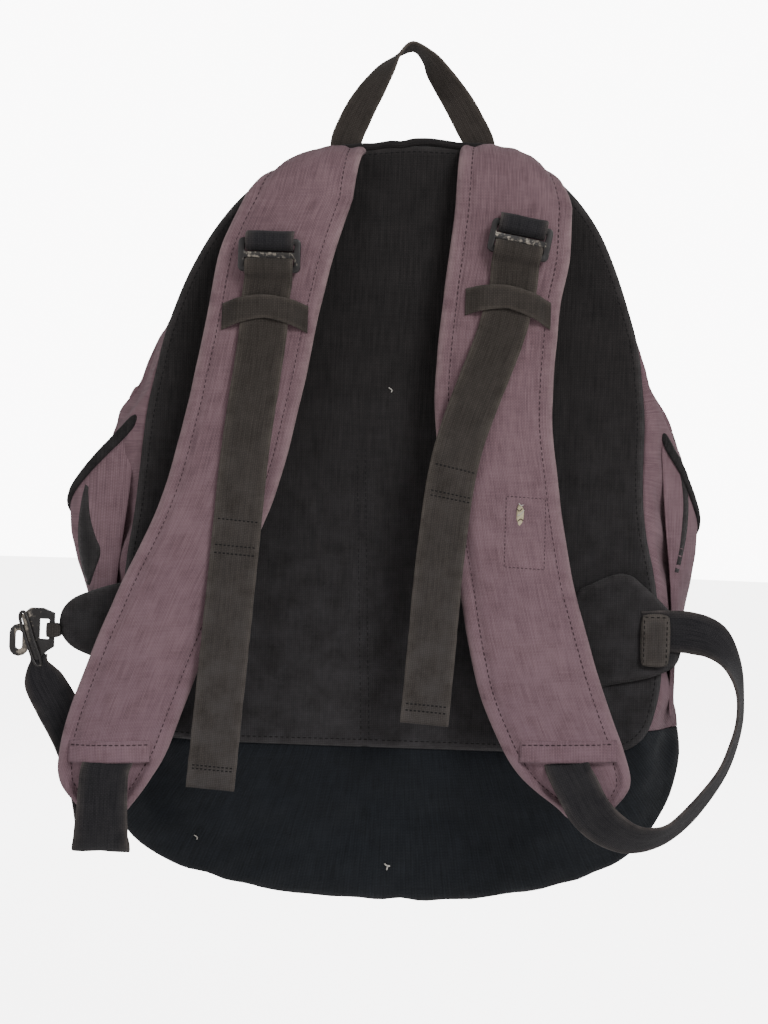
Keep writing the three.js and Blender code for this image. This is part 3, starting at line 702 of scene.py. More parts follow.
def settle(x, y, z):
    """How a hanging pack sits off its pattern: its base lower and, behind the zip, whose line the
    sliders' arcs fix, its shoulders uneven and its sides fuller."""
    behind = ease((zip_y(z) - 8 * MM - y) / (16 * MM))
    drop = behind * shoulder_lift(x, z)
    full = 5 * MM * behind * math.exp(-((z + 0.235) / 0.04) ** 2) * ease((abs(x) - 0.13) / 0.04)
    corner = math.exp(-((abs(x) - 0.16) / 0.06) ** 2)
    sag = (3 + (7 if x < 0 else 3) * corner) * MM * ease((-0.43 - z) / 0.06)
    away = max(math.hypot(x, z - AXIS_Z), 1e-6)
    x += math.copysign(full, x) + sag * x / away
    return x, z + drop + sag * (z - AXIS_Z) / away


def wall_radius(tree, outward, y):
    """How far the outer wall is from the pack's axis in one direction."""
    best = 0.0
    for shift in (-0.8 * MM, 0, 0.8 * MM):
        start = Vector((0, y + shift, AXIS_Z)) + outward * 0.6
        place = tree.ray_cast(start, -outward)[0]
        if place is not None:
            best = max(best, (place - Vector((0, 0, AXIS_Z))).dot(outward))
    return best


def front_depth(tree, x, z):
    depths = []
    for shift in (-0.8 * MM, 0.8 * MM):
        place, _ = front_point(tree, x, z + shift, side=1)
        if place is not None:
            depths.append(place.y)
    return max(depths)


def shell_grid():
    """The pack's outer surface: rings from the back edge round the sides to the front's middle."""
    tree = tree_of(*SHELL)
    side_shares = np.linspace(0, 1, 21)
    front_shares = [0.985, 0.96, 0.93, 0.89, 0.84, 0.78, 0.72, 0.65,
                    0.58, 0.5, 0.42, 0.34, 0.26, 0.18, 0.1, 0.03]
    grid = np.empty((len(side_shares) + len(front_shares), AROUND, 3))
    back_edge = 2.8 * MM
    for a in range(AROUND):
        angle = 2 * math.pi * a / AROUND
        outward = Vector((math.sin(angle), 0, math.cos(angle)))
        end = zip_y(AXIS_Z)
        for _ in range(3):
            end = zip_y(AXIS_Z + outward.z * wall_radius(tree, outward, end)) + ZIP_BAND
        for k, share in enumerate(side_shares):
            y = back_edge + share * (end - back_edge)
            radius = wall_radius(tree, outward, y)
            grid[k, a] = (radius * outward.x, y, AXIS_Z + radius * outward.z)
        for k, share in enumerate(front_shares):
            x, z = radius * share * outward.x, AXIS_Z + radius * share * outward.z
            grid[len(side_shares) + k, a] = (x, front_depth(tree, x, z), z)
    grid = blur(grid, 1.2, 1, around=True)
    smooth = blur(grid, 0.6, 0)
    smooth[0] = grid[0]
    for r in range(len(smooth)):
        for a in range(AROUND):
            smooth[r, a, 0], smooth[r, a, 2] = settle(*smooth[r, a])
    flange = smooth[:1].copy()
    away = flange[..., [0, 2]] - [0, AXIS_Z]
    flange[..., [0, 2]] -= 8 * MM * away / np.linalg.norm(away, axis=2, keepdims=True)
    return np.concatenate([flange, smooth])


def grid_normals(grid, around=False):
    if around:
        across = np.roll(grid, -1, 1) - np.roll(grid, 1, 1)
    else:
        across = np.gradient(grid, axis=1)
    return unit(np.cross(np.gradient(grid, axis=0), across))


def crumple(grid):
    """Hanging folds and creases of slack cloth, away from the zip and the back panel's edge."""
    normals = grid_normals(grid, around=True)
    outward = np.sign(np.sum(normals * (grid - np.array(SHELL_MIDDLE)), axis=2, keepdims=True))
    normals = normals * outward
    result = grid.copy()
    for r in range(1, len(grid)):
        for a in range(AROUND):
            x, y, z = grid[r, a]
            free = ease((zip_distance(x, y, z) - 3 * MM) / (14 * MM))
            free *= ease(r / 5) * ease((len(grid) - 1 - r) / 6)
            free *= 1 - 0.75 * ease((-0.5 - z) / 0.04)
            low = ease((-0.25 - z) / 0.2)
            fold = 2.2 * wobble(x, y, z, 75 * MM, 4.0)
            fold += (1.4 + 1.2 * low) * wobble(x * 1.4, y, z * 0.55, 30 * MM, 9.0)
            crease = 1 - abs(wobble(x * 1.2 + z * 0.5, y, z * 0.8, 42 * MM, 2.0)) * 3.5
            fold -= 1.5 * max(0.0, crease)
            result[r, a] += normals[r, a] * fold * free * MM
    return result


def held_share(x, y, z, ring):
    """How firmly the shell is held: fully at its seams, its zip and the front's middle, firmly over
    the base, and hardly in the middle of its other panels."""
    free = ease((zip_distance(x, y, z) - 4 * MM) / (16 * MM))
    free *= ease(ring / 4) * ease((abs(z - SEAM_Z) - 2 * MM) / (12 * MM)) * ease((36 - ring) / 9)
    if z < SEAM_Z:
        free *= 0.3
    return 1 - 0.97 * free


def turn_outward(edit, face):
    """Turns the whole mesh over if one of its faces points at the pack's middle."""
    if face.normal.dot(face.calc_center_median() - SHELL_MIDDLE) < 0:
        bmesh.ops.reverse_faces(edit, faces=edit.faces)


def slumped(shell):
    """The shell after its slack cloth has filled out and dropped between its seams, by cloth simulation."""
    points, faces, uvs = shell
    obj = make_object("slumping_shell", points, faces, uvs, bpy.data.materials[0])
    edit = bmesh.new()
    edit.from_mesh(obj.data)
    edit.verts.ensure_lookup_table()
    bmesh.ops.recalc_face_normals(edit, faces=edit.faces)
    turn_outward(edit, edit.faces[:][len(faces) // 3])
    edit.to_mesh(obj.data)
    edit.free()
    group = obj.vertex_groups.new(name="held")
    columns = AROUND + 1
    for i, (x, y, z) in enumerate(points):
        held = 1.0 if i % columns in (0, columns - 1) else held_share(x, y, z, i // columns)
        group.add([i], held, "REPLACE")
    cloth = obj.modifiers.new("cloth", "CLOTH")
    cloth.settings.quality = 6
    cloth.settings.mass = 0.25
    cloth.settings.tension_stiffness = 12
    cloth.settings.compression_stiffness = 8
    cloth.settings.shear_stiffness = 4
    cloth.settings.bending_stiffness = 0.15
    cloth.settings.shrink_min = -0.035
    cloth.settings.vertex_group_mass = "held"
    cloth.settings.pin_stiffness = 1.0
    cloth.settings.use_pressure = True
    cloth.settings.uniform_pressure_force = 1.5
    cloth.settings.effector_weights.gravity = 0.5
    cloth.point_cache.frame_start = 1
    cloth.point_cache.frame_end = 24
    for frame_number in range(1, SLUMP_FRAMES + 1):
        bpy.context.scene.frame_set(frame_number)
    graph = bpy.context.evaluated_depsgraph_get()
    settled = obj.evaluated_get(graph).to_mesh()
    result = np.array([tuple(v.co) for v in settled.vertices])
    bpy.data.objects.remove(obj)
    bpy.context.scene.frame_set(1)
    moved = result - points
    length = np.linalg.norm(moved, axis=1, keepdims=True)
    moved *= np.minimum(1, MOST_SLUMP / np.maximum(length, 1e-9))
    kept = np.linalg.norm(moved, axis=1)
    print(f"cloth simulation, in mm: greatest move {length.max() / MM:.1f} before the cap and",
          f"{kept.max() / MM:.1f} after it, mean {kept.mean() / MM:.2f},",
          f"share capped {(length > MOST_SLUMP).mean():.3f}")
    return points + moved, faces, uvs


def shell_mesh(grid):
    """One mesh of the whole shell, with a uv map that follows the cloth."""
    closed = np.concatenate([grid, grid[:, :1]], 1)
    rows, columns = closed.shape[:2]
    steps = np.linalg.norm(np.diff(closed, axis=0), axis=2)
    up = np.concatenate([np.zeros((1, columns)), np.cumsum(steps, 0)])
    around = np.linspace(-math.pi, math.pi, columns) * 0.2
    uvs = [(around[c], up[r, c]) for r in range(rows) for c in range(columns)]
    faces = []
    for r in range(rows - 1):
        for c in range(columns - 1):
            a = r * columns + c
            faces.append((a, a + 1, a + 1 + columns, a + columns))
    faces.append(tuple(range((rows - 1) * columns, rows * columns - 1)))
    return closed.reshape(-1, 3), faces, uvs


def shell_piece(name, shell, cuts, material, body, node, planar=False):
    """The part of the shell behind every cut (point, normal), with the cloth's thickness."""
    points, faces, uvs = shell
    obj = make_object(name, points, faces, uvs, material)
    edit = bmesh.new()
    edit.from_mesh(obj.data)
    bmesh.ops.remove_doubles(edit, verts=edit.verts, dist=1e-6)
    for place, normal in cuts:
        everything = edit.verts[:] + edit.edges[:] + edit.faces[:]
        bmesh.ops.bisect_plane(edit, geom=everything, plane_co=place, plane_no=normal, clear_outer=True)
    bmesh.ops.remove_doubles(edit, verts=edit.verts, dist=0.5 * MM)
    bmesh.ops.triangulate(edit, faces=[face for face in edit.faces if len(face.verts) > 4])
    bmesh.ops.recalc_face_normals(edit, faces=edit.faces)
    turn_outward(edit, edit.faces[:][0])
    if planar:
        layer = edit.loops.layers.uv.active
        for face in edit.faces:
            for loop in face.loops:
                loop[layer].uv = (loop.vert.co.x, loop.vert.co.z)
    edit.to_mesh(obj.data)
    edit.free()
    fine = obj.modifiers.new("fine", "SUBSURF")
    fine.levels = 1
    fine.boundary_smooth = "PRESERVE_CORNERS"
    wall = obj.modifiers.new("wall", "SOLIDIFY")
    wall.thickness = CLOTH
    wall.offset = -1
    apply_modifiers(obj)
    smooth = np.ones(len(obj.data.polygons), bool)
    obj.data.polygons.foreach_set("use_smooth", smooth)
    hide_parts(node)
    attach(obj, body)
    return obj


def make_shell(m):
    shell = slumped(shell_mesh(crumple(shell_grid())))
    gap = 0.25 * MM
    above = (Vector((0, 0, SEAM_Z + gap)), Vector((0, 0, -1)))
    below = (Vector((0, 0, SEAM_Z - gap)), Vector((0, 0, 1)))
    behind = (ZIP_CENTRE - ZIP_NORMAL * gap, ZIP_NORMAL)
    before = (ZIP_CENTRE + ZIP_NORMAL * gap, -ZIP_NORMAL)
    pieces = {}
    for name, side in SIDES.items():
        middle = (Vector((side * gap, 0, 0)), Vector((-side, 0, 0)))
        pieces[name] = shell_piece(f"side_cloth_{name}", shell, [above, behind, middle], m["canvas"], "bag",
                                   f"side_panel_{name}")
    pieces["base"] = shell_piece("base_cloth", shell, [below], m["base"], "bag", "base_panel")
    pieces["front"] = shell_piece("front_cloth", shell, [above, before], m["canvas"], "front_lid",
                                  "front_panel", planar=True)
    return pieces


def near_outline(node):
    """The outline of a flat CAD node's near face, in order round its middle."""
    points = vertices_of(node)
    near = points[points[:, 1] < points[:, 1].min() + 0.1 * MM]
    flat = np.unique(near[:, [0, 2]].round(5), axis=0)
    away = flat - flat.mean(0)
    return flat[np.argsort(np.arctan2(away[:, 0], away[:, 1]))]


def outline_top(outline, x):
    """The highest point of an outline at a given x."""
    best = -9.0
    for (x0, z0), (x1, z1) in zip(outline, np.roll(outline, -1, 0)):
        if min(x0, x1) <= x <= max(x0, x1) and x0 != x1:
            best = max(best, z0 + (z1 - z0) * (x - x0) / (x1 - x0))
    return best


# ---- Back panel ----------------------------------------------------------------------------------
SEAM_TOP = (-24.5 * MM, -0.26)
SEAM_FOOT = (-15.5 * MM, -0.449)


def panel_seam_distance(x, z):
    """Distance from the panel's upright seam."""
    t = (SEAM_TOP[1] - z) / (SEAM_TOP[1] - SEAM_FOOT[1])
    return abs(x - (SEAM_TOP[0] + (SEAM_FOOT[0] - SEAM_TOP[0]) * t))


def make_back_panel(m):
    outline = rounded_outline(near_outline("back_panel"), 4 * MM)
    outline = np.array([(x - 4.5 * MM * math.exp(-((z + 0.29) / 0.07) ** 2), z + shoulder_lift(x, z))
                        for x, z in outline])
    middle = np.array([0, AXIS_Z])
    outline = middle + (outline - middle) * (1 + 1.5 * MM / np.linalg.norm(outline - middle, axis=1)[:, None])

    def front(x, z, d):
        puff = 2.0 * edge_roll(d, 9 * MM) + 3.2 * ease(d / (70 * MM))
        groove = 1.4 * math.exp(-(panel_seam_distance(x, z) / (2.6 * MM)) ** 2) * ease((-0.235 - z) / 0.05)
        slack = 1.1 * wobble(x, 0, z * 0.5, 38 * MM, 5.0) + 0.5 * wobble(x, 0, z, 13 * MM, 8.0)
        crease = max(0.0, 1 - abs(wobble(x * 1.5, 0, z * 0.6, 48 * MM, 6.5)) * 5) * 0.9
        return 1.6 * MM - (puff - groove + slack * ease(d / (25 * MM)) - crease * ease(d / (25 * MM))) * MM

    def back(x, z, d):
        return 1.8 * MM + 0.6 * MM * edge_roll(d, 4 * MM)

    panel = pillow("back_panel_cloth", outline, front, back, 3.6 * MM, m["black"])
    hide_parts("back_panel", "back_foam")
    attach(panel, "bag")
    return panel, outline


def make_top_seam(m, outline):
    """The rolled seam along the pack's top, between and beside the straps."""
    rows = []
    for x in np.linspace(-0.045, 0.05, 30):
        lift = 0.4 + 1.6 * math.exp(-((x - 12 * MM) / (13 * MM)) ** 2) + 0.9 * wobble(x, 0, 0, 9 * MM, 3.0)
        rows.append((x, 2.5 * MM, outline_top(outline, x) + lift * MM))
    seam = tube("top_seam_roll", rows, 2.8 * MM, m["black"], flat=1.3)
    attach(seam, "bag")


# ---- Shoulder straps -----------------------------------------------------------------------------
FRONT_PROFILE = (  # distance from the edge, and depth below the strap's face
    (0, 0.6, 2, 4.5, 7.5, 9, 10.5, 14, 20, 36), (5.0, 3.7, 2.7, 2.2, 2.6, 3.1, 2.3, 1.0, 0.3, 0.0))
COVER_BACK = ((0, 0.6, 2, 4.5, 7.5, 9, 12), (5.5, 6.8, 7.8, 8.3, 7.8, 7.2, 7.0))
LINING_BACK = ((0, 2, 6, 12, 30), (7.6, 8.4, 10.2, 11.4, 12.0))
STRAP_BOW = 3 * MM
STRAP_COLUMNS = 45
SLOT = {"left": (-172 * MM, -461 * MM), "right": (108 * MM, -451.5 * MM)}  # middle of its webbing slot
SLOT_SLOPE = 0.035
SHOULDER = {"left": (-2.3 * MM, 3.2 * MM), "right": (0.6 * MM, 2.0 * MM)}  # shift and spread up there
TOP_EDGE = {"left": (-61 * MM, 32.5 * MM), "right": (65 * MM, 32 * MM)}  # middle and half width of the top
HEM = 10.5 * MM  # from the slot's lip to its stitching


def profile(table, distance):
    return np.interp(distance / MM, *table) * MM


class Strap:
    """One padded strap: its face grid, normals and distances, and the pieces built on them."""

    def __init__(self, name, outline):
        self.name = name
        self.body = f"strap_{name}"
        self.shares = np.sin(np.linspace(-math.pi / 2, math.pi / 2, STRAP_COLUMNS))
        self.rows = self.station_rows()
        self.base = self.base_grid(outline)
        self.normals = grid_normals(self.base)
        steps = np.linalg.norm(np.diff(self.base, axis=0), axis=2)[:, STRAP_COLUMNS // 2]
        self.along = np.concatenate([[0], np.cumsum(steps)])
        self.edge = (1 - np.abs(self.shares))[None] * self.half[:, None]
        self.wrinkle = self.wrinkles()

    def station_rows(self):
        points = vertices_of(f"strap_face_{self.name}")
        rows = []
        for z in np.unique(points[:, 2].round(4))[::-1]:
            ring = points[np.abs(points[:, 2] - z) < 0.3 * MM]
            left, right = ring[:, 0].min(), ring[:, 0].max()
            rows.append(((left + right) / 2, ring[:, 1].min(), z, (right - left) / 2))
        x, y, z, half = rows[-1]
        rows.append((x, y, z - 6 * MM, half * 0.62))
        rows.append((x, y, z - 9 * MM, half * 0.2))
        shift, spread = SHOULDER[self.name]
        rows = [(x, y, z, half, ease((z + 0.175) / 0.035)) for x, y, z, half in rows]
        return np.array([(x + shift * up, y, z, half + spread * up) for x, y, z, half, up in rows])

    def base_grid(self, outline):
        """Hanging rows, and above them rows that turn back into the pack's top seam."""
        hang = smooth_line(self.rows[2:], 2.4 * MM)
        top_x, top_half = TOP_EDGE[self.name]
        grid, half = [], []
        x, y, z, first = hang[0]
        for t in np.linspace(1, 0, 16, endpoint=False):
            row = []
            for u in self.shares:
                start = np.array([x + u * first, y + STRAP_BOW * u * u, z])
                edge_x = top_x + u * top_half
                ragged = 0.8 * MM * wobble(edge_x, 0, 0, 8 * MM, 1.0)
                end = np.array([edge_x, 0.5 * MM, outline_top(outline, edge_x) + 3.2 * MM + ragged])
                bend = np.array([edge_x * 0.5 + start[0] * 0.5, y + 4 * MM, end[2] - 3 * MM])
                row.append((1 - t) ** 2 * start + 2 * t * (1 - t) * bend + t * t * end)
            grid.append(row)
            half.append(first + (top_half - first) * t)
        travelled = 0.0
        for x, y, z, width in hang:
            travelled += 2.4 * MM
            waver = 1 + 0.012 * wobble(travelled, 0, 0, 26 * MM, 7.0 if self.name == "left" else 2.0)
            bow = STRAP_BOW * min(1, width / 0.03)
            row = [(x + u * width * waver, y + bow * u * u, z) for u in self.shares]
            grid.append(row)
            half.append(width)
        self.half = np.array(half)
        return np.array(grid)

    def wrinkles(self):
        seed = 11.0 if self.name == "left" else 23.0
        result = np.zeros(self.base.shape[:2])
        for i in range(len(self.base)):
            for j in range(STRAP_COLUMNS):
                x, _, z = self.base[i, j]
                e = self.edge[i, j]
                drift = 3 * wobble(x, 0, z, 30 * MM, seed)
                pucker = math.sin(self.along[i] / (10 * MM) * 2 * math.pi + drift)
                value = 0.30 * pucker * math.exp(-abs(e - EDGE_CHANNEL) / (3.5 * MM))
                value += 0.8 * wobble(x, 0, z * 0.6, 40 * MM, seed) * ease(e / (14 * MM))
                value += 0.3 * wobble(x, 0, z, 12 * MM, seed + 1)
                result[i, j] = value * MM
        return result

    def slot_drop(self):
        """How far each point is below the slot's lip."""
        middle, height = SLOT[self.name]
        lip = height + SLOT_SLOPE * (self.base[..., 0] - middle)
        return lip - self.base[..., 2]

    def front(self):
        depth = profile(FRONT_PROFILE, self.edge) + self.wrinkle
        drop = self.slot_drop()
        recess = np.clip(drop / (1.5 * MM), 0, 1) * np.clip((self.edge - 6 * MM) / (2.5 * MM), 0, 1)
        thin = np.clip(drop / (14 * MM), 0, 1)
        return self.base - self.normals * (depth + 3.0 * MM * recess + 0.5 * MM * thin)[..., None]

    def layer(self, depth):
        return self.base - self.normals * depth[..., None]

    def cloth_uvs(self):
        return [(self.shares[j] * self.half[i], self.along[i])
                for i in range(len(self.base)) for j in range(STRAP_COLUMNS)]

    def make_cover(self, m):
        front = self.front()
        back = self.layer(profile(COVER_BACK, self.edge) + 0.2 * MM)
        wear = np.exp(-self.edge / (2.5 * MM)) * 0.7
        cover = thick_sheet(f"strap_cover_{self.name}", front, back, self.cloth_uvs(), m["canvas"], wear)
        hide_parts(f"strap_face_{self.name}", f"strap_foam_{self.name}")
        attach(cover, self.body)
        self.tree = tree_of_piece(cover)
        return front

    def make_lining(self, m):
        inset = 7 * MM
        keep = [i for i in range(6, len(self.base)) if self.half[i] > inset + 12 * MM]
        grid_front, grid_back, uvs = [], [], []
        for i in keep:
            share = (self.half[i] - inset) / self.half[i]
            for u in self.shares:
                place, normal = [
                    np.array([np.interp(u * share, self.shares, grid[i, :, k]) for k in range(3)])
                    for grid in (self.base, self.normals)]
                from_edge = (1 - abs(u)) * (self.half[i] - inset)
                crease = 0.5 * MM * wobble(place[0], 0, place[2], 20 * MM, 31.0)
                grid_front.append(place - normal * 7.5 * MM)
                grid_back.append(place - normal * (profile(LINING_BACK, from_edge) + crease))
                uvs.append((u * self.half[i], self.along[i]))
        shape = (len(keep), STRAP_COLUMNS, 3)
        lining = thick_sheet(f"strap_lining_cloth_{self.name}", np.array(grid_front).reshape(shape),
                             np.array(grid_back).reshape(shape), uvs, m["black"])
        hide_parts(f"strap_lining_{self.name}", f"inner_webbing_{self.name}")
        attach(lining, self.body)

    def make_hem(self, m):
        """The folded hem over the webbing slot."""
        middle, height = SLOT[self.name]
        half = np.interp(-height, -self.base[:, 0, 2], self.half) - EDGE_CHANNEL + 1.0 * MM
        near, far, uvs = [], [], []
        levels = np.array([HEM + 2.5 * MM, HEM, HEM * 0.75, HEM * 0.5, HEM * 0.25, 0.8 * MM, -0.6 * MM])
        lifts = np.array([0.1, 0.7, 1.0, 1.1, 1.25, 1.3, 0.5]) * MM
        for level, lift in zip(levels, lifts):
            for u in np.linspace(-1, 1, 31):
                x = self.middle_at(height) + u * half
                z = height + SLOT_SLOPE * (x - middle) + level
                place, _ = front_point(self.tree, x, z)
                if level < 1 * MM:
                    above, _ = front_point(self.tree, x, z - level + 1.5 * MM)
                    place = Vector((x, above.y, z))
                base = np.array(place)
                wave = 0.25 * MM * wobble(x, 0, z, 9 * MM, 13.0)
                near.append(base + np.array([0, -lift - wave, 0]))
                far.append(base + np.array([0, 0.2 * MM - (lift > 1.2 * MM) * 0.2 * MM, 0]))
                uvs.append((x, z))
        shape = (len(levels), 31, 3)
        hem = thick_sheet(f"strap_hem_{self.name}", np.array(near).reshape(shape),
                          np.array(far).reshape(shape), uvs, m["canvas"])
        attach(hem, self.body)
        return half

    def middle_at(self, z):
        return np.interp(-z, -self.base[16:, 0, 2], self.base[16:, STRAP_COLUMNS // 2, 0])

    def face_at(self, z):
        return np.interp(-z, -self.base[16:, 0, 2], self.base[16:, STRAP_COLUMNS // 2, 1])

    def stitch(self, m, front, hem_half):
        thread = Stitching()
        for side in (-1, 1):
            places, normals = [], []
            for i in range(3, len(front)):
                if self.half[i] < EDGE_CHANNEL + 6 * MM:
                    break
                u = side * (1 - EDGE_CHANNEL / self.half[i])
                places.append([np.interp(u, self.shares, front[i, :, k]) for k in range(3)])
                normals.append([np.interp(u, self.shares, self.normals[i, :, k]) for k in range(3)])
            thread.row(places, normals)
        middle, height = SLOT[self.name]
        centre = self.middle_at(height)
        line = [(centre + u * (hem_half - 1 * MM),
                 height + HEM + SLOT_SLOPE * (centre + u * hem_half - middle))
                for u in np.linspace(-1, 1, 12)]
        places = [front_point(self.tree, x, z)[0] + Vector((0, -0.9 * MM, 0)) for x, z in line]
        thread.row([tuple(p) for p in places], [(0, -1, 0)] * len(line))
        thread.finish(f"strap_stitches_{self.name}", m["mauve_thread"], self.body)


# ---- Webbing at the adjusters --------------------------------------------------------------------
TAILS = {  # routes of the free webbing, x and z in millimetres, from the buckle down
    "left": [(-86.5, -158), (-88.5, -198), (-96, -265), (-100, -327), (-104, -390), (-109.5, -475)],
    "right": [(70.5, -144), (60, -190), (36.5, -260), (28, -323), (24, -385), (21, -431)],
}
TAIL_LIFT = 2.2 * MM  # of the webbing's middle above the strap's face


def joint_named(name):
    return next(joint for joint in frame["joints"] if joint["name"] == name)


def in_plane_route(points, ys):
    """Rows for webbing whose width stays across its route, for points (x, z) at depths ys."""
    flat = np.array(points, float)
    along = unit(np.gradient(flat, axis=0))
    return [(x, y, z, -dz, 0, dx) for (x, z), y, (dx, dz) in zip(flat, ys, along)]


def make_adjuster(strap, m):
    name = strap.name
    joint = joint_named(f"buckle_{name}_tilt")
    origin = np.array(joint["pos_m"])
    across = -np.array(joint["axis"])
    across = across / np.linalg.norm(across)
    down = np.array([across[2], 0, -across[0]])
    face = strap.face_at(origin[2])

    def local(y, drop):
        place = origin + down * drop * MM
        return (place[0], origin[1] + y * MM, place[2], *across)

    # the sewn loop over the upper bar
    sewn = (face - origin[1]) / MM
    loop = [local(sewn - 1.0, -7.4), local(sewn - 1.4, -6.4), local(-1.2, -5.4), local(-4.6, -3.9),
            local(-5.9, -0.6), local(-5.2, 2.8), local(-2.6, 4.8), local(1.0, 5.0), local(sewn * 0.6, 4.4)]
    anchor = webbing(f"adjuster_loop_{name}", loop, WEBBING, 1.5 * MM, m["webbing_blue"])
    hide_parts(f"buckle_anchor_{name}")
    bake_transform(anchor)

    # the free webbing under the middle bar, over the lower bar and down to the keeper
    route = TAILS[name]
    top, under = [(x * MM, z * MM) for x, z in route[:2]]
    slope = unit(np.array([under[0] - top[0], 0, under[1] - top[1]]))
    side = np.array([-slope[2], 0, slope[0]])
    rows = [local(2.4, 6.0), local(2.0, 9.5), local(-1.2, 11.4), local(-4.4, 12.8), local(-5.2, 16.5),
            local(-4.0, 20.5), local(-1.2, 23.5)]
    for t in (0.25, 0.45, 0.64):
        x, z = top[0] + (under[0] - top[0]) * t, top[1] + (under[1] - top[1]) * t
        rows.append((x, strap.face_at(z) - TAIL_LIFT, z, *side))
    upper = webbing(f"tail_top_webbing_{name}", rows, WEBBING, WEBBING_THICK, m["webbing"])
    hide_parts(f"buckle_roll_{name}", f"tail_top_{name}")
    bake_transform(upper)
    buckle = refined(f"ladder_buckle_{name}", m["metal"], 0.9 * MM)
    rub_bare(buckle, origin + down * 8.6 * MM, down, 2.6 * MM)
    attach(buckle, f"buckle_{name}")


def rub_bare(obj, place, direction, reach):
    """Writes wear round a plane through a place, across a direction, on the side that faces out."""
    wear = obj.data.attributes.new("wear", "FLOAT", "POINT")
    for vertex in obj.data.vertices:
        away = np.dot(np.array(vertex.co) - place, direction) / reach
        wear.data[vertex.index].value = math.exp(-away * away) * (0.9 if vertex.normal.y < 0 else 0.3)


def make_keeper(strap, m):
    """A band sewn across the strap, arched over the webbing."""
    name = strap.name
    low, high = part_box(f"keeper_{name}")
    x_middle, z_middle = (low.x + high.x) / 2, (low.z + high.z) / 2
    span, tall = high.x - low.x, high.z - low.z
    tilt = 0.0 if name == "left" else -0.13
    near, far, uvs = [], [], []
    for v in np.linspace(-1, 1, 11):
        for u in np.linspace(-1, 1, 49):
            x = x_middle + u * span / 2
            arch = ease((0.93 - abs(u)) / 0.3)
            sag = -5.5 * abs(u) ** 1.7 - (2.5 * v * (1 - abs(u)) if v < 0 else 0)
            z = z_middle + v * tall / 2 + sag * MM + 2.2 * MM + tilt * (x - x_middle)
            edge = 0.4 * MM * v * v
            face = front_point(strap.tree, x, z)[0].y
            lift = (0.9 + 4.1 * arch) * MM + 0.25 * MM * wobble(x, 0, z, 11 * MM, 17.0)
            near.append((x, face - lift - 0.6 * MM + edge, z))
            far.append((x, face - lift + 0.6 * MM + edge, z))
            uvs.append((x, z))
    shape = (11, 49, 3)
    wear = [max(0.0, abs(v) - 0.7) * 2 for v in np.linspace(-1, 1, 11) for _ in range(49)]
    band = thick_sheet(f"keeper_band_{name}", np.array(near).reshape(shape), np.array(far).reshape(shape),
                       uvs, m["webbing"], wear)
    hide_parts(f"keeper_{name}")
    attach(band, strap.body)


def make_tail(strap, m):
    name = strap.name
    route = [(x * MM, z * MM) for x, z in TAILS[name]]
    start = route[1]
    hidden = (start[0] + (route[0][0] - start[0]) * 0.5, start[1] + (route[0][1] - start[1]) * 0.5)
    points = [hidden] + route[1:]
    depths = [strap.face_at(z) - TAIL_LIFT - (0.4 * MM if i else 0) for i, (_, z) in enumerate(points)]
    rows = in_plane_route(points, depths)
    tail = webbing(f"tail_webbing_{name}", rows, WEBBING, WEBBING_THICK, m["webbing"], waver=0.7 * MM)
    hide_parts(f"tail_{name}")
    tree = tree_of_piece(tail)
    joint = joint_named(f"tail_{name}_swing")
    pivot = Vector(joint["pos_m"])
    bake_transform(tail)
    return tree, rows


def along_rows(rows, z):
    """The middle and the width direction of a route at a height."""
    table = np.array(rows)[::-1]
    return [np.interp(z, table[:, 2], table[:, k]) for k in range(6)]


TAIL_STITCHES = {"left": (-309, -325, -330, -461, -463), "right": (-272, -288, -291, -419, -423)}


def stitch_tail(name, tree, rows, m):
    thread = Stitching()
    for height in TAIL_STITCHES[name]:
        x, _, z, ax, _, az = along_rows(rows, height * MM)
        reach = WEBBING * 0.42
        line = [(x + ax * u * reach, z + az * u * reach) for u in (-1, 0, 1)]
        thread.on_tree(tree, line, pitch=2.6 * MM, radius=0.5 * MM)
    thread.finish(f"tail_stitches_{name}", m["dark_thread"], f"tail_{name}")
    # the end is folded back on itself
    x, y, z, ax, _, az = rows[-1]
    before = rows[-2]
    heading = unit(np.array([x - before[0], 0, z - before[2]]))
    fold = [(x - heading[0] * s * MM, y + 2.0 * MM, z - heading[2] * s * MM, ax, 0, az) for s in (1, 7, 14)]
    layer = webbing(f"tail_fold_{name}", fold, WEBBING - 0.6 * MM, WEBBING_THICK, m["webbing"])
    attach(layer, f"tail_{name}")


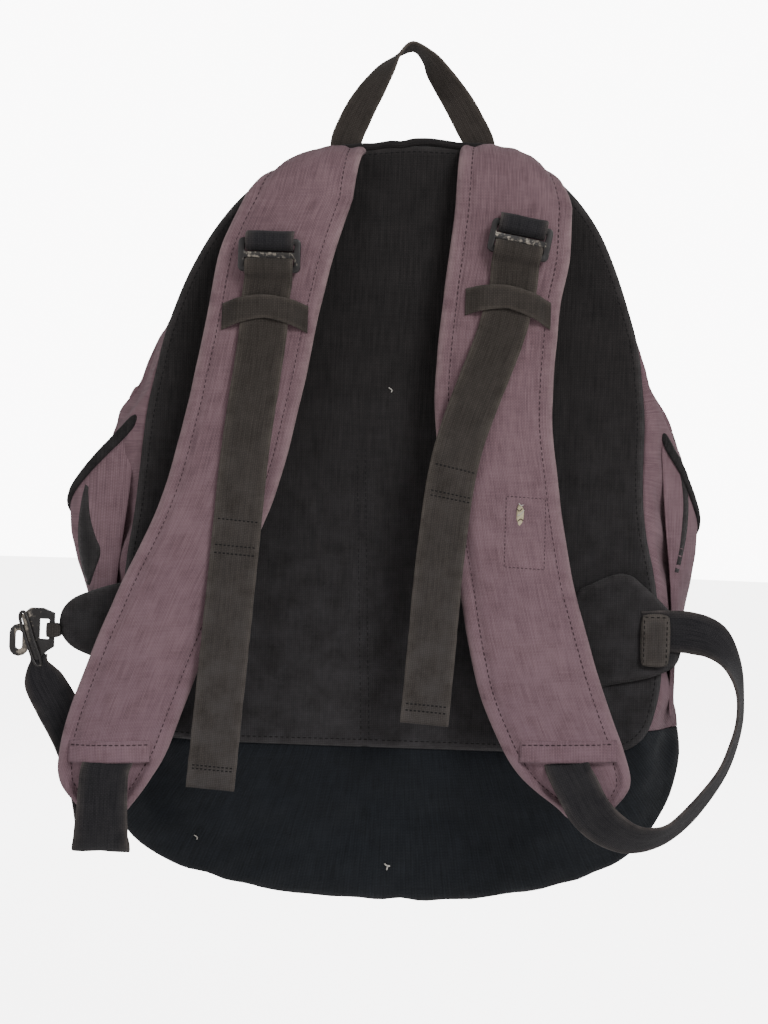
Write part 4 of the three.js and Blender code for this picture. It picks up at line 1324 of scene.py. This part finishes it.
# ---- Lower webbing, wings and the side buckle ----------------------------------------------------
LOWER_WEBBING = {  # x, y, z in millimetres, turn of its width from upright, its tip forwards, width share
    "right": [
        (160, -6.1, -372, 2, 0, 1), (178, -6.1, -371, 3, 0, 1), (192, -6.4, -371.5, 9, 6, 1),
        (206, -8, -376, 26, 26, 1), (217, -11, -389, 50, 54, 1), (222.5, -15, -408, 80, 70, 1),
        (221.5, -19.5, -427, 98, 70, 1), (214.5, -24, -450, 116, 66, 1), (203, -28, -468.5, 128, 62, 1),
        (187.5, -32, -486, 141, 58, 1), (171.5, -36, -497, 161, 55, 1), (153.5, -41, -499, 184, 42, 1),
        (137.5, -46, -492, 208, 26, 1), (124.5, -49.8, -480, 226, 10, 1), (117, -50.8, -467, 240, 2, 1),
        (113, -49.5, -460, 247, 0, 1), (110.5, -44, -454, 251, 0, 1), (109, -41.5, -449, 254, 0, 1),
    ],
    "left": [
        (-172.5, -42, -455, 92, 0, 1), (-173, -44.5, -460, 92, 0, 1), (-175, -50, -468, 92, 0, 1),
        (-175.5, -51, -494, 92, 0, 1.06), (-176, -48, -509, 91, 0, 1.14), (-177, -40.5, -516.5, 90, 0, 1.2),
        (-178, -33, -515, 90, 0, 1.16), (-181, -30, -500, 84, 0, 1), (-188, -26, -476, 68, 0, 0.95),
        (-200.5, -19.5, -450, 57, 8, 0.9), (-213, -13, -431, 56, 14, 0.9), (-222.5, -9, -417, 60, 12, 0.84),
        (-226, -6.5, -409, 68, 6, 0.6), (-227, -5, -404, 74, 0, 0.38), (-227, -4, -399.5, 78, 0, 0.36),
    ],
}


def lower_route(name):
    rows = []
    for x, y, z, turn, tip, share in LOWER_WEBBING[name]:
        turn, tip = math.radians(turn), math.radians(tip)
        rows.append((x * MM, y * MM, z * MM, math.sin(turn) * math.cos(tip), math.sin(tip),
                     math.cos(turn) * math.cos(tip), share))
    return rows


def make_lower_webbing(m):
    right = lower_route("right")
    band = webbing("lower_webbing_band_right", right, 27 * MM, WEBBING_THICK, m["webbing_blue"],
                   waver=0.6 * MM)
    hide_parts("lower_webbing_right", "lower_stub_right")
    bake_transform(band)
    left = lower_route("left")
    band = webbing("lower_webbing_band_left", left, WEBBING, WEBBING_THICK, m["webbing_blue"],
                   waver=0.9 * MM)
    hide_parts("lower_webbing_left", "lower_stub_left")
    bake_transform(band)


RIGHT_WING = [  # x and z in millimetres, from its top corner round its tip
    (112, -352), (134, -338), (150, -334), (163, -344), (175, -355), (184, -364), (187, -380),
    (184, -393), (174, -399), (158, -404), (112, -412)]


def make_wing(name, m):
    side = SIDES[name]
    outline = rounded_outline(near_outline(f"wing_{name}"), 2.5 * MM)
    if name == "right":
        outline = rounded_outline([(x * MM, z * MM) for x, z in RIGHT_WING], 2.5 * MM)
    low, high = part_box(f"wing_{name}")
    middle = (low.y + high.y) / 2
    tip = outline[:, 0].min() if side < 0 else outline[:, 0].max()

    def bulge(x, z, d):
        swell = 2.6 * edge_roll(d, 8 * MM)
        fold = 0.7 * wobble(x, 0, z, 16 * MM, 3.0 + side) * ease(d / (8 * MM))
        hem = 0.9 * math.exp(-((z + 0.395 + 0.15 * (abs(x) - 0.18)) / (2.2 * MM)) ** 2) * ease(d / (6 * MM))
        return (swell + fold - hem) * MM * (1 - 0.35 * ease(1 - abs(tip - x) / (25 * MM)))

    wing = pillow(f"wing_cloth_{name}", outline, lambda x, z, d: middle - bulge(x, z, d),
                  lambda x, z, d: middle + 0.6 * bulge(x, z, d), 2.6 * MM, m["black"])
    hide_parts(f"wing_{name}")
    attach(wing, "bag")


def make_wing_sleeve(m):
    """The sewn patch that holds the lower webbing on the right wing."""
    low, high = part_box("wing_sleeve_right")
    low, high = low - Vector((3, 0, 0)) * MM, high - Vector((5, 0, 0)) * MM
    outline = block_outline(low, high, 3 * MM, 1.8 * MM)

    def front(x, z, d):
        return high.y - (1.2 + 0.6 * edge_roll(d, 3 * MM)) * MM + 0.3 * MM * wobble(x, 0, z, 9 * MM, 5.0)

    sleeve = pillow("wing_sleeve_cloth", outline, front, lambda x, z, d: high.y - 0.4 * MM, 2 * MM,
                    m["webbing"])
    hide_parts("wing_sleeve_right")
    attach(sleeve, "bag")
    thread = Stitching()
    tree = tree_of_piece(sleeve)
    inset = 2.2 * MM
    for x in (low.x + inset, high.x - inset):
        thread.on_tree(tree, [(x, low.z + inset), (x, high.z - inset)])
    thread.on_tree(tree, [(low.x + inset, high.z - inset), (high.x - inset, high.z - inset)])
    thread.finish("wing_sleeve_stitches", m["dark_thread"], "bag")


def make_side_buckle(m):
    body = refined("side_buckle_frame", m["metal"], 1.0 * MM)
    ring = refined("side_buckle_ring", m["metal"], 1.2 * MM)
    for vertex in ring.data.vertices:
        vertex.co.x += 5.5 * MM
    for piece in (body, ring):
        rub_bare(piece, np.array([-0.2365, 0, -0.39]), np.array([1.0, 0, 0]), 6 * MM)
        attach(piece, "side_buckle")
    hook = [(-0.2365, -0.0065, -0.3735), (-0.2400, -0.0062, -0.376), (-0.2355, -0.0060, -0.3905),
            (-0.2295, -0.0060, -0.4055), (-0.2262, -0.0064, -0.4068), (-0.2255, -0.0066, -0.404),
            (-0.2310, -0.0068, -0.389)]
    loop = tube("side_buckle_wire", hook, 1.1 * MM, m["metal"], closed=True)
    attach(loop, "side_buckle")
    tab = softened("wing_tab_left", m["webbing"], "wing_tab_webbing")
    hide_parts("wing_tab_left")
    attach(tab, "bag")


def softened(node, material, name):
    """A rounded copy of a soft CAD node, with a uv map by depth and height."""
    obj = bpy.data.objects.new(name, NODES[node].data.copy())
    bpy.context.scene.collection.objects.link(obj)
    edit = bmesh.new()
    edit.from_mesh(obj.data)
    bmesh.ops.remove_doubles(edit, verts=edit.verts, dist=1e-6)
    bmesh.ops.join_triangles(edit, faces=edit.faces, angle_face_threshold=0.6, angle_shape_threshold=0.9)
    edit.to_mesh(obj.data)
    edit.free()
    obj.data.materials.clear()
    obj.data.materials.append(material)
    fine = obj.modifiers.new("fine", "SUBSURF")
    fine.levels = 2
    apply_modifiers(obj)
    layer = obj.data.uv_layers.new(name="cloth")
    for loop in obj.data.loops:
        x, y, z = obj.data.vertices[loop.vertex_index].co
        layer.data[loop.index].uv = (0.8 * (x + y), z)
    return finish_normals(obj)


# ---- Side pockets --------------------------------------------------------------------------------
POCKET_SHADE_OUTLINES = {  # x and z in millimetres round the black sheet of painted shade that stands for the shadowed inside of each side pocket
    "left": [(-202, -280), (-206.5, -292), (-209.5, -309), (-210.5, -326), (-208.5, -341), (-204, -359),
             (-201, -356), (-197, -346), (-192, -333), (-197.5, -322), (-201.5, -309), (-203, -292)],
    "right": [(176, -236), (184, -266), (188, -286), (187.5, -303), (186, -319), (182, -338),
              (185, -338), (189.5, -319), (192, -303), (192, -284), (188, -262), (180, -238)],
}


def pull_in(obj, middle, foot):
    """Draws an empty side pocket towards the bag: the shares of its bulge left half-way and at its foot."""
    for vertex in obj.data.vertices:
        x, _, z = vertex.co
        excess = abs(x) - 0.186
        if excess > 0:
            keep = middle + (foot - middle) * ease((-0.31 - z) / 0.1)
            vertex.co.x = math.copysign(0.186 + excess * keep, x)


def make_side_pocket(name, m):
    pocket = softened(f"side_pocket_{name}", m["canvas"], f"side_pocket_cloth_{name}")
    binding = softened(f"pocket_binding_{name}", m["black"], f"pocket_binding_cloth_{name}")
    for piece, node, slot in ((pocket, f"side_pocket_{name}", "canvas"),
                              (binding, f"pocket_binding_{name}", "black_cloth")):
        pull_in(piece, 1.0 if name == "left" else 0.72, 0.35 if name == "left" else 0.17)
        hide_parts(node)
        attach(piece, "bag")
    for vertex in binding.data.vertices:
        vertex.co += vertex.normal * 1.0 * MM
    tree = tree_of_piece(pocket)
    outline = rounded_outline([(x * MM, z * MM) for x, z in POCKET_SHADE_OUTLINES[name]], 1.6 * MM)

    def front(x, z, d):
        place, _ = front_point(tree, x, z)
        return (place.y if place else 24 * MM) - 0.6 * MM * edge_roll(d, 2 * MM)

    # painted shade: a black sheet laid over the closed pocket's front, where the open pocket's inside would
    # lie in shadow
    shade_sheet = pillow(f"pocket_mouth_{name}", outline, front, lambda x, z, d: front(x, z, 0) + 1.2 * MM,
                   2.2 * MM, m["black"])
    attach(shade_sheet, "bag")


# ---- Front: zip and pocket -----------------------------------------------------------------------
def zip_line(step):
    """Places along the main zip from its left end over the top, with the way out of the cloth."""
    rows = []
    straight = np.arange(ZIP_END, ZIP_CENTRE.z, step)
    rows += [(-ZIP_RADIUS, z, -1.0, 0.0) for z in straight]
    turns = int(math.pi * ZIP_RADIUS / step)
    for angle in np.linspace(-math.pi / 2, math.pi / 2, turns):
        out_x, out_z = math.sin(angle), math.cos(angle)
        rows.append((ZIP_RADIUS * out_x, ZIP_CENTRE.z + ZIP_RADIUS * out_z, out_x, out_z))
    rows += [(ZIP_RADIUS, z, 1.0, 0.0) for z in straight[::-1]]
    return rows


def add_tooth(parts, place, along, across, out, size):
    """One tooth of a zip, as a small block with a narrowed top."""
    points, faces, uvs = parts
    first = len(points)
    length, width, height = size
    for lift, narrow in ((0, 1.0), (0.7, 0.95), (1.0, 0.55)):
        for a, b in ((-1, -1), (1, -1), (1, 1), (-1, 1)):
            offset = along * a * length / 2 * narrow + across * b * width / 2 * narrow
            points.append(place + offset + out * height * lift)
            uvs.append((a * 0.001, b * 0.001))
    for level in (0, 4):
        for k in range(4):
            a, b = first + level + k, first + level + (k + 1) % 4
            faces.append((a, b, b + 4, a + 4))
    faces.append((first + 3, first + 2, first + 1, first))
    faces.append((first + 8, first + 9, first + 10, first + 11))


def make_zip(m, pieces):
    rear_tree = [tree_of_piece(pieces[name]) for name in SIDES]
    front_tree = [tree_of_piece(pieces["front"])]
    normal = np.array(ZIP_NORMAL)
    for name, trees, body, sign in (("rear", rear_tree, "bag", -1), ("front", front_tree, "front_lid", 1)):
        tape_rows, teeth = [], ([], [], [])
        for k, (x, z, out_x, out_z) in enumerate(zip_line(0.8 * MM)):
            out = np.array([out_x, 0.0, out_z])
            middle = np.array([x, zip_y(z), z])
            start = Vector(middle + normal * sign * 4.5 * MM + out * 0.05)
            hits = [tree.ray_cast(start, Vector(-out))[0] for tree in trees]
            hits = [hit for hit in hits if hit is not None]
            if not hits:
                continue
            lift = max(np.dot(np.array(hit) - middle, out) for hit in hits)
            base = middle + out * lift
            if k % 5 == 0:
                tape_rows.append((*(base + out * 0.5 * MM + normal * sign * 4.6 * MM), *normal))
            if k % 2 == (0 if sign < 0 else 1):
                along = np.cross(normal, out)
                place = base + out * 0.3 * MM + normal * sign * 1.3 * MM
                add_tooth(teeth, place, along, normal, out, (1.05 * MM, 2.9 * MM, 1.9 * MM))
        tape = webbing(f"zip_tape_{name}", tape_rows, 9 * MM, 0.7 * MM, m["black"], waver=0.2 * MM)
        coil = make_object(f"zip_teeth_{name}", *teeth[:2], teeth[2], m["zip"])
        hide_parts(f"main_zip_{name}")
        for piece in (tape, coil):
            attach(piece, body)
    for name in SIDES:
        for part in ("zip_slider", "zip_pull"):
            piece = refined(f"{part}_{name}", m["metal"], 0.45 * MM)
            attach(piece, f"{part}_{name}")


def make_front_pocket(m, pieces):
    tree = tree_of_piece(pieces["front"])
    low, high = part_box("front_pocket")
    inset = Vector((1, 0, 1)) * MM
    outline = block_outline(low + inset, high - inset, 12 * MM, 3 * MM)
    zip_low, zip_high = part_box("pocket_zip")
    zip_z = (zip_low.z + zip_high.z) / 2
    planned = tree_of("front_pocket", "pocket_zip")
    edge = 8 * MM

    def base(x, z):
        return front_depth(tree, x, z)

    def front(x, z, d):
        inside_x = min(max(x, low.x + edge), high.x - edge)
        inside_z = min(max(z, low.z + edge), high.z - edge)
        face = front_point(planned, inside_x, inside_z, side=1)[0].y
        fold = 1.2 * wobble(x, 0, z, 34 * MM, 15.0) + 0.5 * wobble(x, 0, z, 14 * MM, 3.0)
        flat = math.exp(-((z - zip_z) / (7 * MM)) ** 2)
        puff = face - base(x, z) - 1.2 * MM * flat + fold * MM * (1 - flat) * ease(d / (12 * MM))
        return base(x, z) + 0.5 * MM + puff * edge_roll(d, 11 * MM)

    pocket = pillow("front_pocket_cloth", outline, front, lambda x, z, d: base(x, z) + 0.4 * MM, 3 * MM,
                    m["canvas"])
    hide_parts("front_pocket")
    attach(pocket, "front_lid")
    face = tree_of_piece(pocket)
    rows, teeth = [], ([], [], [])
    for k, x in enumerate(np.arange(zip_low.x + 2 * MM, zip_high.x - 2 * MM, 0.8 * MM)):
        place, _ = front_point(face, x, zip_z, side=1)
        base_place = np.array(place)
        if k % 5 == 0:
            rows.append((*(base_place + np.array([0, 0.7 * MM, 0])), 0, 0, 1))
        sign = -1 if k % 2 else 1
        add_tooth(teeth, base_place + np.array([0, 0.9 * MM, sign * 0.8 * MM]), np.array([1.0, 0, 0]),
                  np.array([0, 0, 1.0]), np.array([0, 1.0, 0]), (1.05 * MM, 2.9 * MM, 1.6 * MM))
    tape = webbing("pocket_zip_tape", rows, 13 * MM, 0.7 * MM, m["black"], waver=0.15 * MM)
    coil = make_object("pocket_zip_teeth", *teeth[:2], teeth[2], m["zip"])
    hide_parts("pocket_zip")
    for piece in (tape, coil):
        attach(piece, "front_lid")
    for node in ("pocket_slider", "pocket_pull"):
        piece = refined(node, m["metal"], 0.45 * MM)
        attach(piece, node)
    thread = Stitching()
    ring = outline[::2]
    middle = ring.mean(0)
    inner = [tuple(p + (middle - p) * 3.5 * MM / np.linalg.norm(middle - p)) for p in ring]
    thread.on_tree(face, inner + inner[:1], side=1)
    for offset in (-8.5 * MM, 8.5 * MM):
        thread.on_tree(face, [(zip_low.x, zip_z + offset), (zip_high.x, zip_z + offset)], side=1)
    thread.finish("front_pocket_stitches", m["mauve_thread"], "front_lid")


# ---- Handle --------------------------------------------------------------------------------------
def make_handle(m):
    """The grab handle, as it hangs from a hook: flat at its feet and turned edge-on over the top."""
    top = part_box("grab_handle")[1].z - 1 * MM
    legs = {  # x and z of each leg's middle in millimetres, and how far its width has turned
        -1: [(41.5, -72, 0), (41, -60, 0), (36, -47, 0.06), (29.5, -34, 0.22), (17.5, -15, 0.5),
             (9.5, -5, 0.8)],
        1: [(46, -70, 0), (45, -59, 0), (38.5, -47, 0.06), (30.5, -34, 0.22), (16.5, -15, 0.5),
            (9, -5, 0.8)],
    }
    rows = []
    for side in (-1, 1):
        leg = []
        for x, z, turn in legs[side]:
            angle = turn * math.pi / 2
            depth = 4 * MM * ease((-z - 10) / 45)
            leg.append((side * x * MM, depth, z * MM, math.cos(angle), -math.sin(angle), 0))
        rows += leg if side < 0 else [(0, 0, top, 0, -1, 0)] + leg[::-1]
    handle = webbing("grab_handle_webbing", rows, HANDLE_WEBBING, 2 * MM, m["webbing"], waver=0.3 * MM)
    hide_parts("grab_handle")
    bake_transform(handle)


# ---- Marks of use --------------------------------------------------------------------------------
PATCH = ((80.1 * MM, -0.3106), 25 * MM, 45 * MM)  # middle, width and height of the mended place
HOLE = (76.5 * MM, -0.2985)


def make_patch(strap, m):
    """A darned rectangle on the right strap with a hole worn in it."""
    (x, z), width, height = PATCH
    thread = Stitching()
    corners = [(x - width / 2, z + height / 2), (x + width / 2, z + height / 2 - 1 * MM),
               (x + width / 2, z - height / 2), (x - width / 2, z - height / 2 + 1 * MM)]
    for start, end in zip(corners, corners[1:] + corners[:1]):
        thread.on_tree(strap.tree, [start, end], pitch=2.6 * MM, radius=0.3 * MM)
    thread.finish("patch_stitches", m["mauve_thread"], strap.body)
    hx, hz = HOLE
    worn = [(-1.6, 6), (1.8, 4), (2.6, -1), (1.2, -7), (-0.8, -9), (-2.4, -3)]
    outline = rounded_outline([(hx + a * MM, hz + b * MM) for a, b in worn], 0.8 * MM)
    face = front_point(strap.tree, hx, hz)[0].y
    plug = pillow("worn_hole_foam", outline, lambda a, b, d: face - (0.25 + 0.3 * edge_roll(d, 1 * MM)) * MM,
                  lambda a, b, d: face + 0.3 * MM, 0.8 * MM, m["foam"])
    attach(plug, strap.body)
    frays = [[(-2.4, 3), (-0.6, 1.5), (1.2, 3.2)], [(2.4, 2), (0.2, -0.5), (-1.8, -1.5)],
             [(-1.4, -5), (0.4, -3.5), (2.0, -4.4)], [(-1.0, 6.2), (0.4, 4.8), (1.8, 5.4)]]
    for k, points in enumerate(frays):
        route = [(hx + a * MM, face - (0.9 + 0.4 * (i == 1)) * MM, hz + b * MM)
                 for i, (a, b) in enumerate(points)]
        fray = tube(f"worn_hole_fray_{k}", route, 0.28 * MM, m["lint" if k % 2 else "mauve_thread"], sides=6)
        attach(fray, strap.body)


def make_lint(m, trees):
    """Bits of pale fluff caught on the cloth."""
    places = [("panel", -6.5, -221.5), ("base", 1.5, -537.5), ("base", -126, -522)]
    for k, (where, x, z) in enumerate(places):
        tree = trees[where]
        shape = [(-1.6, 1.2), (-0.3, 0.4), (0.6, -0.5), (0.2, -1.8)] if k != 1 else [
            (-1.2, 1.9), (0.2, 0.6), (2.6, 0.4), (0.9, -0.2), (0.4, -2.6)]
        route = []
        for a, b in shape:
            place, _ = front_point(tree, (x + a) * MM, (z + b) * MM)
            route.append((place.x, place.y - 0.4 * MM, place.z))
        fluff = tube(f"lint_{k}", route, (0.5 if k == 1 else 0.35) * MM, m["lint"], sides=6)
        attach(fluff, "bag")


# ---- Seams of the bag ----------------------------------------------------------------------------
def make_bag_seams(m, pieces, panel_tree, outline):
    """The stitching round the back panel and along its upright seam, and the front's and base's."""
    thread = Stitching()
    inner = []
    middle = np.array([0, AXIS_Z])
    for point in outline[::2]:
        inner.append(tuple(point + (middle - point) * 5 * MM / np.linalg.norm(middle - point)))
    thread.on_tree(panel_tree, inner + inner[:1])
    for side in (-1, 1):
        beside = [(x + side * 2.6 * MM, z) for x, z in (SEAM_TOP, SEAM_FOOT)]
        thread.on_tree(panel_tree, beside, radius=0.3 * MM)
    thread.finish("back_panel_stitches", m["dark_thread"], "bag")
    topstitch = Stitching()
    tree = tree_of_piece(pieces["front"])
    for inset in (14 * MM, 18 * MM):
        radius = ZIP_RADIUS - inset
        line = [(-radius, SEAM_Z + 6 * MM), (-radius, -0.34)]
        line += [(radius * math.sin(a), ZIP_CENTRE.z + radius * math.cos(a))
                 for a in np.linspace(-math.pi / 2, math.pi / 2, 25)]
        line += [(radius, -0.34), (radius, SEAM_Z + 6 * MM)]
        topstitch.on_tree(tree, line, side=1)
    topstitch.finish("front_topstitching", m["mauve_thread"], "front_lid")
    base_row = Stitching()
    tree = tree_of_piece(pieces["base"])
    for drop in (3.5 * MM, 8 * MM):
        line = [(x, SEAM_Z - drop) for x in np.linspace(-0.145, 0.145, 20)]
        base_row.on_tree(tree, line, side=1)
    base_row.finish("base_topstitching", m["dark_thread"], "bag")


# ---- Build ---------------------------------------------------------------------------------------
def build():
    add_camera()
    add_studio()
    m = make_materials()
    pieces = make_shell(m)
    panel, outline = make_back_panel(m)
    make_top_seam(m, outline)
    panel_tree = tree_of_piece(panel)
    make_bag_seams(m, pieces, panel_tree, outline)
    for name in SIDES:
        make_wing(name, m)
    for name in SIDES:
        make_side_pocket(name, m)
        strap = Strap(name, outline)
        front = strap.make_cover(m)
        strap.make_lining(m)
        hem_half = strap.make_hem(m)
        strap.stitch(m, front, hem_half)
        make_adjuster(strap, m)
        make_keeper(strap, m)
        tree, rows = make_tail(strap, m)
        stitch_tail(name, tree, rows, m)
        if name == "right":
            make_patch(strap, m)
    make_lower_webbing(m)
    make_wing_sleeve(m)
    make_side_buckle(m)
    make_zip(m, pieces)
    make_front_pocket(m, pieces)
    make_handle(m)
    make_lint(m, {"panel": panel_tree, "base": tree_of_piece(pieces["base"])})


build()
